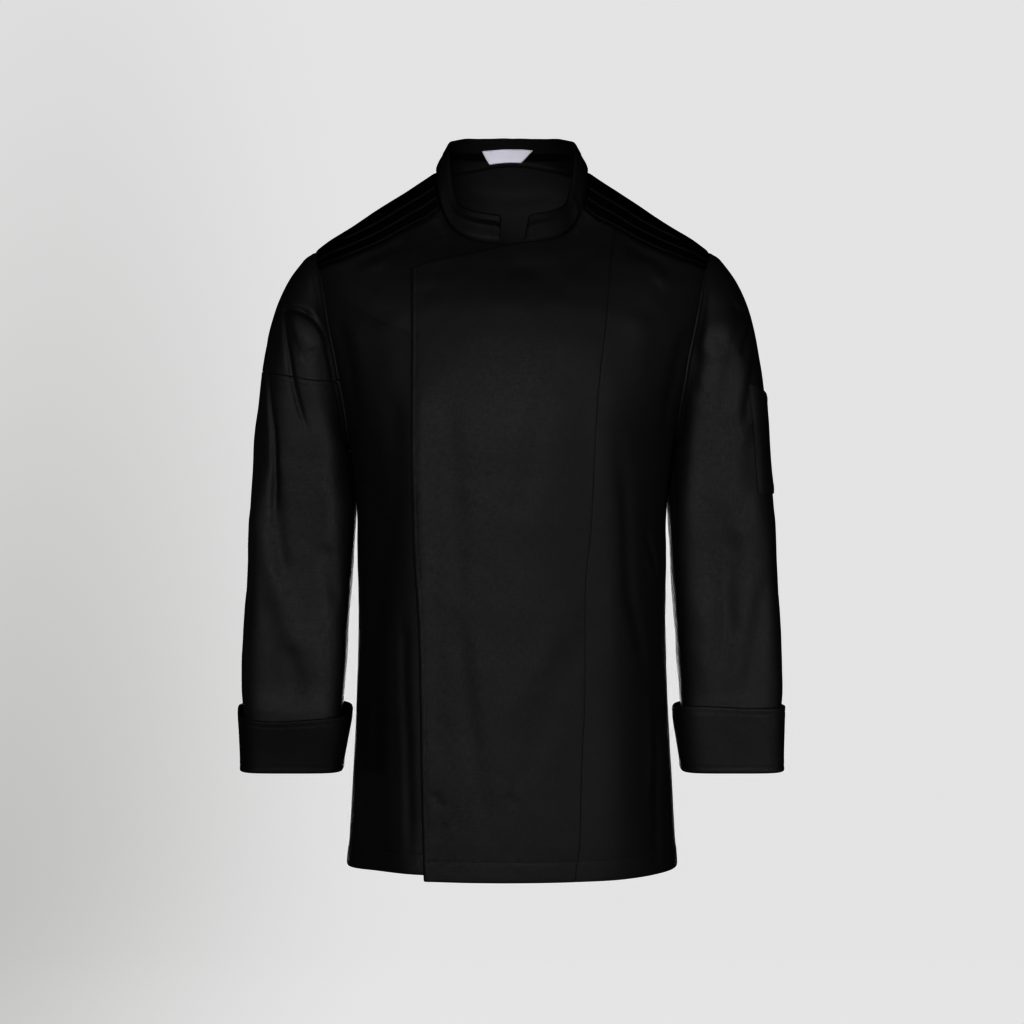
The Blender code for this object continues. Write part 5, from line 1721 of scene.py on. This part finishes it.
Row = namedtuple("Row", "piece edge distance start end")
STITCH_LENGTH = 0.0024
STITCH_PITCH = 0.0031
THREAD_WIDTH = 0.00055
ROWS = (
    Row("over_front", "bottom", HEM_FOLD, 0.07, 1.0),
    Row("over_front", "left", 0.0060, 0.0, 0.985),
    Row("over_front", "top", 0.0060, 0.04, 0.42),
    Row("side_front_left", "bottom", HEM_FOLD, 0.0, 1.0),
    Row("under_front", "bottom", HEM_FOLD, 0.0, 1.0),
    Row("back_panel", "bottom", HEM_FOLD, 0.0, 1.0),
    Row("collar", "top", 0.0072, 0.012, 0.988),
    Row("collar", "left", 0.0062, 0.0, 0.76),
    Row("collar", "right", 0.0062, 0.0, 0.76),
    Row("neck_tape", "bottom", 0.0008, 0.0, 1.0),
    Row("neck_tape", "top", 0.0008, 0.0, 1.0),
    Row("neck_label", "top", 0.0009, 0.03, 0.97),
    Row("neck_label", "bottom", 0.0009, 0.03, 0.97),
    Row("sleeve_left", "bottom", ARMHOLE_LINE, 0.0, 1.0),
    Row("sleeve_right_upper", "bottom", ARMHOLE_LINE, 0.02, 0.98),
    Row("sleeve_right_lower", "bottom", LEVEL_LINE, 0.0, 1.0),
    Row("pen_pocket", "left", POCKET_LINE, 0.0, 1.0),
    Row("pen_pocket", "right", POCKET_LINE, 0.0, 1.0),
    Row("pen_pocket", "bottom", POCKET_LINE, 0.0, 1.0),
    Row("pen_pocket", "top", POCKET_TOP_LINE, 0.03, 0.97),
    Row("cuff_left", "top", CUFF_TOP_LINE, 0.0, 1.0),
    Row("cuff_left", "bottom", CUFF_BOTTOM_LINE, 0.0, 1.0),
    Row("cuff_right", "top", CUFF_TOP_LINE, 0.0, 1.0),
    Row("cuff_right", "bottom", CUFF_BOTTOM_LINE, 0.0, 1.0),
)


def row_path(piece, row):
    """Points and cloth normals along a piece, a fixed distance in from one of its edges."""
    points, normals = edge_first(piece.outer, row.edge), edge_first(piece.normals, row.edge)
    along = np.cumsum(np.linalg.norm(np.diff(points, axis=0), axis=-1), axis=0)
    before = np.minimum((along < row.distance).sum(axis=0), len(along) - 1)
    column = np.arange(points.shape[1])
    reached = np.where(before > 0, along[np.maximum(before - 1, 0), column], 0.0)
    share = ((row.distance - reached) / (along[before, column] - reached))[:, None]
    path = (1 - share) * points[before, column] + share * points[before + 1, column]
    facing = unit((1 - share) * normals[before, column] + share * normals[before + 1, column])
    if piece.wrap:
        path, facing = np.concatenate([path, path[:1]]), np.concatenate([facing, facing[:1]])
    last = len(path) - 1
    kept = slice(round(row.start * last), round(row.end * last) + 1)
    return path[kept] + 0.00010 * facing[kept], facing[kept]


def stitch_tree():
    """Stitches along lines: each a short length of thread that follows its line and lies on the cloth."""
    tree = bpy.data.node_groups.new("stitch_rows", "GeometryNodeTree")
    tree.interface.new_socket(name="Rows", in_out="INPUT", socket_type="NodeSocketGeometry")
    for name in ("Stitch Length", "Thread Width", "Pitch"):
        tree.interface.new_socket(name=name, in_out="INPUT", socket_type="NodeSocketFloat")
    tree.interface.new_socket(name="Thread", in_out="INPUT", socket_type="NodeSocketMaterial")
    tree.interface.new_socket(name="Stitches", in_out="OUTPUT", socket_type="NodeSocketGeometry")
    given = node(tree, "NodeGroupInput").outputs
    curve = node(tree, "GeometryNodeMeshToCurve", {"Mesh": given["Rows"]}).outputs["Curve"]
    even = node(tree, "GeometryNodeResampleCurve", {"Curve": curve, "Length": given["Pitch"]}, mode="LENGTH")
    tangent = node(tree, "GeometryNodeInputTangent").outputs[0]
    ahead = node(tree, "FunctionNodeAlignRotationToVector", {"Vector": tangent}, axis="X").outputs["Rotation"]
    facing = node(tree, "GeometryNodeInputNamedAttribute", {"Name": "cloth_normal"}, data_type="FLOAT_VECTOR")
    turned = {"Rotation": ahead, "Vector": facing.outputs[0]}
    laid = node(tree, "FunctionNodeAlignRotationToVector", turned, axis="Z", pivot_axis="X")
    bead = node(tree, "GeometryNodeMeshUVSphere", {"Segments": 6, "Rings": 4, "Radius": 0.5}).outputs["Mesh"]
    width = given["Thread Width"]
    flattened = math_node(tree, "MULTIPLY", width, 0.8)
    size = node(tree, "ShaderNodeCombineXYZ", {"X": given["Stitch Length"], "Y": width, "Z": flattened})
    stitch = node(tree, "GeometryNodeTransform", {"Geometry": bead, "Scale": size.outputs[0]})
    # Inputs 2 and 3 and output 1 of this node are its plain numbers
    between = {2: 0.90, 3: 1.06, "Seed": 5}
    uneven = node(tree, "FunctionNodeRandomValue", between, data_type="FLOAT").outputs[1]
    stitches = node(tree, "GeometryNodeInstanceOnPoints", {
        "Points": even.outputs["Curve"], "Instance": stitch.outputs["Geometry"],
        "Rotation": laid.outputs["Rotation"], "Scale": uneven,
    })
    whole = node(tree, "GeometryNodeRealizeInstances", {"Geometry": stitches.outputs["Instances"]})
    smooth = node(tree, "GeometryNodeSetShadeSmooth", {"Geometry": whole.outputs["Geometry"]})
    sockets = {"Geometry": smooth.outputs["Geometry"], "Material": given["Thread"]}
    coloured = node(tree, "GeometryNodeSetMaterial", sockets)
    node(tree, "NodeGroupOutput", {"Stitches": coloured.outputs["Geometry"]})
    return tree


def sewn(name, paths, tree, material):
    """A mesh object of stitches along these paths, with the tree's result as its own mesh."""
    lines = bpy.data.meshes.new(name + "_rows")
    first, edges = 0, []
    for points, _ in paths:
        edges += [(i, i + 1) for i in range(first, first + len(points) - 1)]
        first += len(points)
    lines.from_pydata(np.concatenate([points for points, _ in paths]).tolist(), edges, [])
    layer = lines.attributes.new("cloth_normal", "FLOAT_VECTOR", "POINT")
    facings = np.concatenate([facing for _, facing in paths])
    layer.data.foreach_set("vector", facings.astype(np.float32).ravel())
    obj = bpy.data.objects.new(name, lines)
    bpy.context.scene.collection.objects.link(obj)
    modifier = obj.modifiers.new("stitches", "NODES")
    modifier.node_group = tree
    values = {"Stitch Length": STITCH_LENGTH, "Thread Width": THREAD_WIDTH, "Pitch": STITCH_PITCH}
    values["Thread"] = material
    for socket in tree.interface.items_tree:
        if socket.item_type == "SOCKET" and socket.in_out == "INPUT" and socket.name in values:
            modifier[socket.identifier] = values[socket.name]
    bpy.context.view_layer.update()
    result = bpy.data.meshes.new_from_object(obj.evaluated_get(bpy.context.evaluated_depsgraph_get()))
    obj.modifiers.remove(modifier)
    obj.data = result
    bpy.data.meshes.remove(lines)
    return obj


sewn_pieces = dict(pieces)
for side in ("left", "right"):
    points = cuff(side)[0][:CUFF_ROWS]
    band = Piece(points, 0.0, points[..., :2], wrap=True)
    sewn_pieces["cuff_" + side] = band if side == "left" else band.mirrored()
row_paths = [row_path(sewn_pieces[row.piece], row) for row in ROWS]
stitching = sewn("stitching", row_paths, stitch_tree(), thread)


# Floor, backdrop, light and camera

TARGET = (0.0, 0.0, -0.358)
CAMERA_DISTANCE = 3.5
CAMERA_RISE = math.radians(3)
FLOOR_HEIGHT = -1.45
FLOOR_FLAT = 4.2
BEND_RADIUS = 2.8
BEND_STEPS = 24
WALL_HEIGHT = 9.0
BOWL_SIDES = 96


def stage_bowl():
    """A round floor that curves up into the backdrop on every side."""
    profile = [(2.0, FLOOR_HEIGHT), (FLOOR_FLAT, FLOOR_HEIGHT)]
    for step in range(1, BEND_STEPS + 1):
        turn = math.pi / 2 * step / BEND_STEPS
        height = FLOOR_HEIGHT + BEND_RADIUS * (1 - math.cos(turn))
        profile.append((FLOOR_FLAT + BEND_RADIUS * math.sin(turn), height))
    profile.append((FLOOR_FLAT + BEND_RADIUS, FLOOR_HEIGHT + WALL_HEIGHT))
    turns = np.linspace(0, 2 * math.pi, BOWL_SIDES, endpoint=False)
    points = [(0.0, 0.0, FLOOR_HEIGHT)]
    points += [(r * math.cos(turn), r * math.sin(turn), z) for r, z in profile for turn in turns]
    faces = [(0, 1 + k, 1 + (k + 1) % BOWL_SIDES) for k in range(BOWL_SIDES)]
    for first in range(1, 1 + (len(profile) - 1) * BOWL_SIDES, BOWL_SIDES):
        for k in range(BOWL_SIDES):
            a, b = first + k, first + (k + 1) % BOWL_SIDES
            faces.append((a, a + BOWL_SIDES, b + BOWL_SIDES, b))
    mesh = bpy.data.meshes.new("stage_bowl")
    mesh.from_pydata(points, [], faces)
    mesh.shade_smooth()
    obj = bpy.data.objects.new("stage_bowl", mesh)
    bpy.context.scene.collection.objects.link(obj)
    return obj


# The backdrop's darkest place, and how its nearness is told, both in a space drawn out sideways
BACKDROP_STRETCH = (2.2, 0.35, 0.5)
BACKDROP_DARKEST = (-2.98, 1.12, -1.06)
BACKDROP_DARK = (0.655, 0.655, 0.646, 1.0)
BACKDROP_PALE = (0.851, 0.851, 0.852, 1.0)


def stage_material():
    """Pale matt paper that gives its own even light, a little darker low down and on the wearer's right."""
    material = bpy.data.materials.new("pale_paper")
    material.use_nodes = True
    tree = material.node_tree
    surface = tree.nodes["Principled BSDF"].inputs
    surface["Base Color"].default_value = (0.004, 0.004, 0.004, 1.0)
    surface["Roughness"].default_value = 0.95
    surface["Specular IOR Level"].default_value = 0.05
    surface["Emission Strength"].default_value = 1.0
    place = node(tree, "ShaderNodeTexCoord").outputs["Object"]
    drawn = node(tree, "ShaderNodeVectorMath", {0: place, 1: BACKDROP_STRETCH}, operation="MULTIPLY")
    places = {0: drawn.outputs[0], 1: BACKDROP_DARKEST}
    away = node(tree, "ShaderNodeVectorMath", places, operation="DISTANCE")
    ends = {"Value": away.outputs["Value"], "From Min": 0.1, "From Max": 2.6}
    shade = node(tree, "ShaderNodeMapRange", ends, interpolation_type="SMOOTHSTEP").outputs["Result"]
    tree.links.new(mixed(tree, shade, BACKDROP_DARK, BACKDROP_PALE), surface["Emission Color"])
    return material


def area_light(name, place, towards, size, power, spread=180):
    data = bpy.data.lights.new(name, "AREA")
    data.shape = "RECTANGLE"
    data.size, data.size_y = size
    data.energy = power
    data.spread = math.radians(spread)
    light = bpy.data.objects.new(name, data)
    light.location = place
    aim = np.array(towards) - np.array(place)
    light.rotation_euler = mathutils.Vector(aim).to_track_quat("-Z", "Y").to_euler()
    light.visible_camera = False
    bpy.context.scene.collection.objects.link(light)


bowl = stage_bowl()
bowl.data.materials.append(stage_material())
bowl.visible_diffuse = False
bowl.visible_glossy = False
bowl.visible_shadow = False
area_light("front_main", (-0.35, -3.4, 0.26), (0, 0, -0.34), (1.6, 1.1), 15.7, 60)
area_light("side_right", (2.4, -2.3, -0.80), (0.1, 0, -0.62), (1.1, 0.9), 1.9, 36)
area_light("side_left", (-3.1, 0.9, -0.60), (-0.27, 0, -0.33), (1.2, 0.6), 0.12, 24)
area_light("back_soft", (0.0, 3.6, -0.95), (0, 0, -0.42), (2.2, 0.9), 9, 50)

world = bpy.data.worlds.new("pale_world")
world.use_nodes = True
world.node_tree.nodes["Background"].inputs["Color"].default_value = (0.9, 0.9, 0.9, 1.0)
world.node_tree.nodes["Background"].inputs["Strength"].default_value = 0.006
bpy.context.scene.world = world
bpy.context.scene.view_settings.view_transform = "Standard"
bpy.context.scene.view_settings.gamma = 0.62

camera_data = bpy.data.cameras.new("camera")
camera_data.sensor_width = 36.0
camera_data.lens = 18.0 / math.tan(math.radians(17.6) / 2)
camera = bpy.data.objects.new("camera", camera_data)
camera.location = (
    TARGET[0], TARGET[1] - CAMERA_DISTANCE * math.cos(CAMERA_RISE),
    TARGET[2] + CAMERA_DISTANCE * math.sin(CAMERA_RISE),
)
aim = mathutils.Vector(TARGET) - camera.location
camera.rotation_euler = aim.to_track_quat("-Z", "Y").to_euler()
bpy.context.scene.collection.objects.link(camera)
bpy.context.scene.camera = camera


# Each piece's cut: its flat size, how it is held, what it rests on and its area; each piece is attached to
# the root and its CAD part hidden

Cut = namedtuple("Cut", "flat held rests_on area")
CUTS = {
    "over_front": Cut((0.245, 0.735), "hung", ("shoulder_left_cloth", "collar_cloth"), 0.1250),
    "side_front_left": Cut((0.170, 0.700), "hung", ("shoulder_left_cloth",), 0.1000),
    "under_front": Cut((0.285, 0.735), "hung", ("shoulder_right_cloth", "collar_cloth"), 0.1800),
    "back_panel": Cut((0.560, 0.770), "hung", ("shoulder_left_cloth", "shoulder_right_cloth"), 0.3500),
    "shoulder_left": Cut((0.140, 0.060), "stretched", ("back_panel_cloth", "over_front_cloth"), None),
    "shoulder_right": Cut((0.140, 0.060), "stretched", ("back_panel_cloth", "under_front_cloth"), None),
    "collar": Cut((0.420, 0.035), "folded", ("over_front_cloth", "back_panel_cloth"), None),
    "neck_tape": Cut((0.190, 0.010), "stretched", ("collar_cloth",), None),
    "neck_label": Cut((0.055, 0.0150), "stretched", ("neck_tape_cloth",), None),
    "sleeve_left": Cut((0.400, 0.560), "hung", ("shoulder_left_cloth", "side_front_left"), 0.1740),
    "sleeve_right_upper": Cut((0.250, 0.130), "hung", ("shoulder_right_cloth",), 0.0250),
    "sleeve_right_lower": Cut((0.400, 0.450), "hung", ("sleeve_right_upper_cloth",), 0.1500),
    "cuff_left": Cut((0.345, 0.076), "folded", ("sleeve_left_cloth",), None),
    "cuff_right": Cut((0.345, 0.076), "folded", ("sleeve_right_lower_cloth",), None),
    "pen_pocket": Cut((0.075, 0.112), "stretched", ("sleeve_left_cloth",), None),
}
for side in ("left", "right"):
    for number, ridge in enumerate(PIPINGS, start=1):
        flat = (0.010, 0.130 * ridge.reach)
        cut = Cut(flat, "stretched", (f"shoulder_{side}_cloth",), 0.00065 * ridge.reach)
        CUTS[f"piping_{side}_{number}"] = cut

for name, obj in made.items():
    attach(obj, "root")
    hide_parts(name)
    cut = CUTS[name]
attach(stitching, "root")
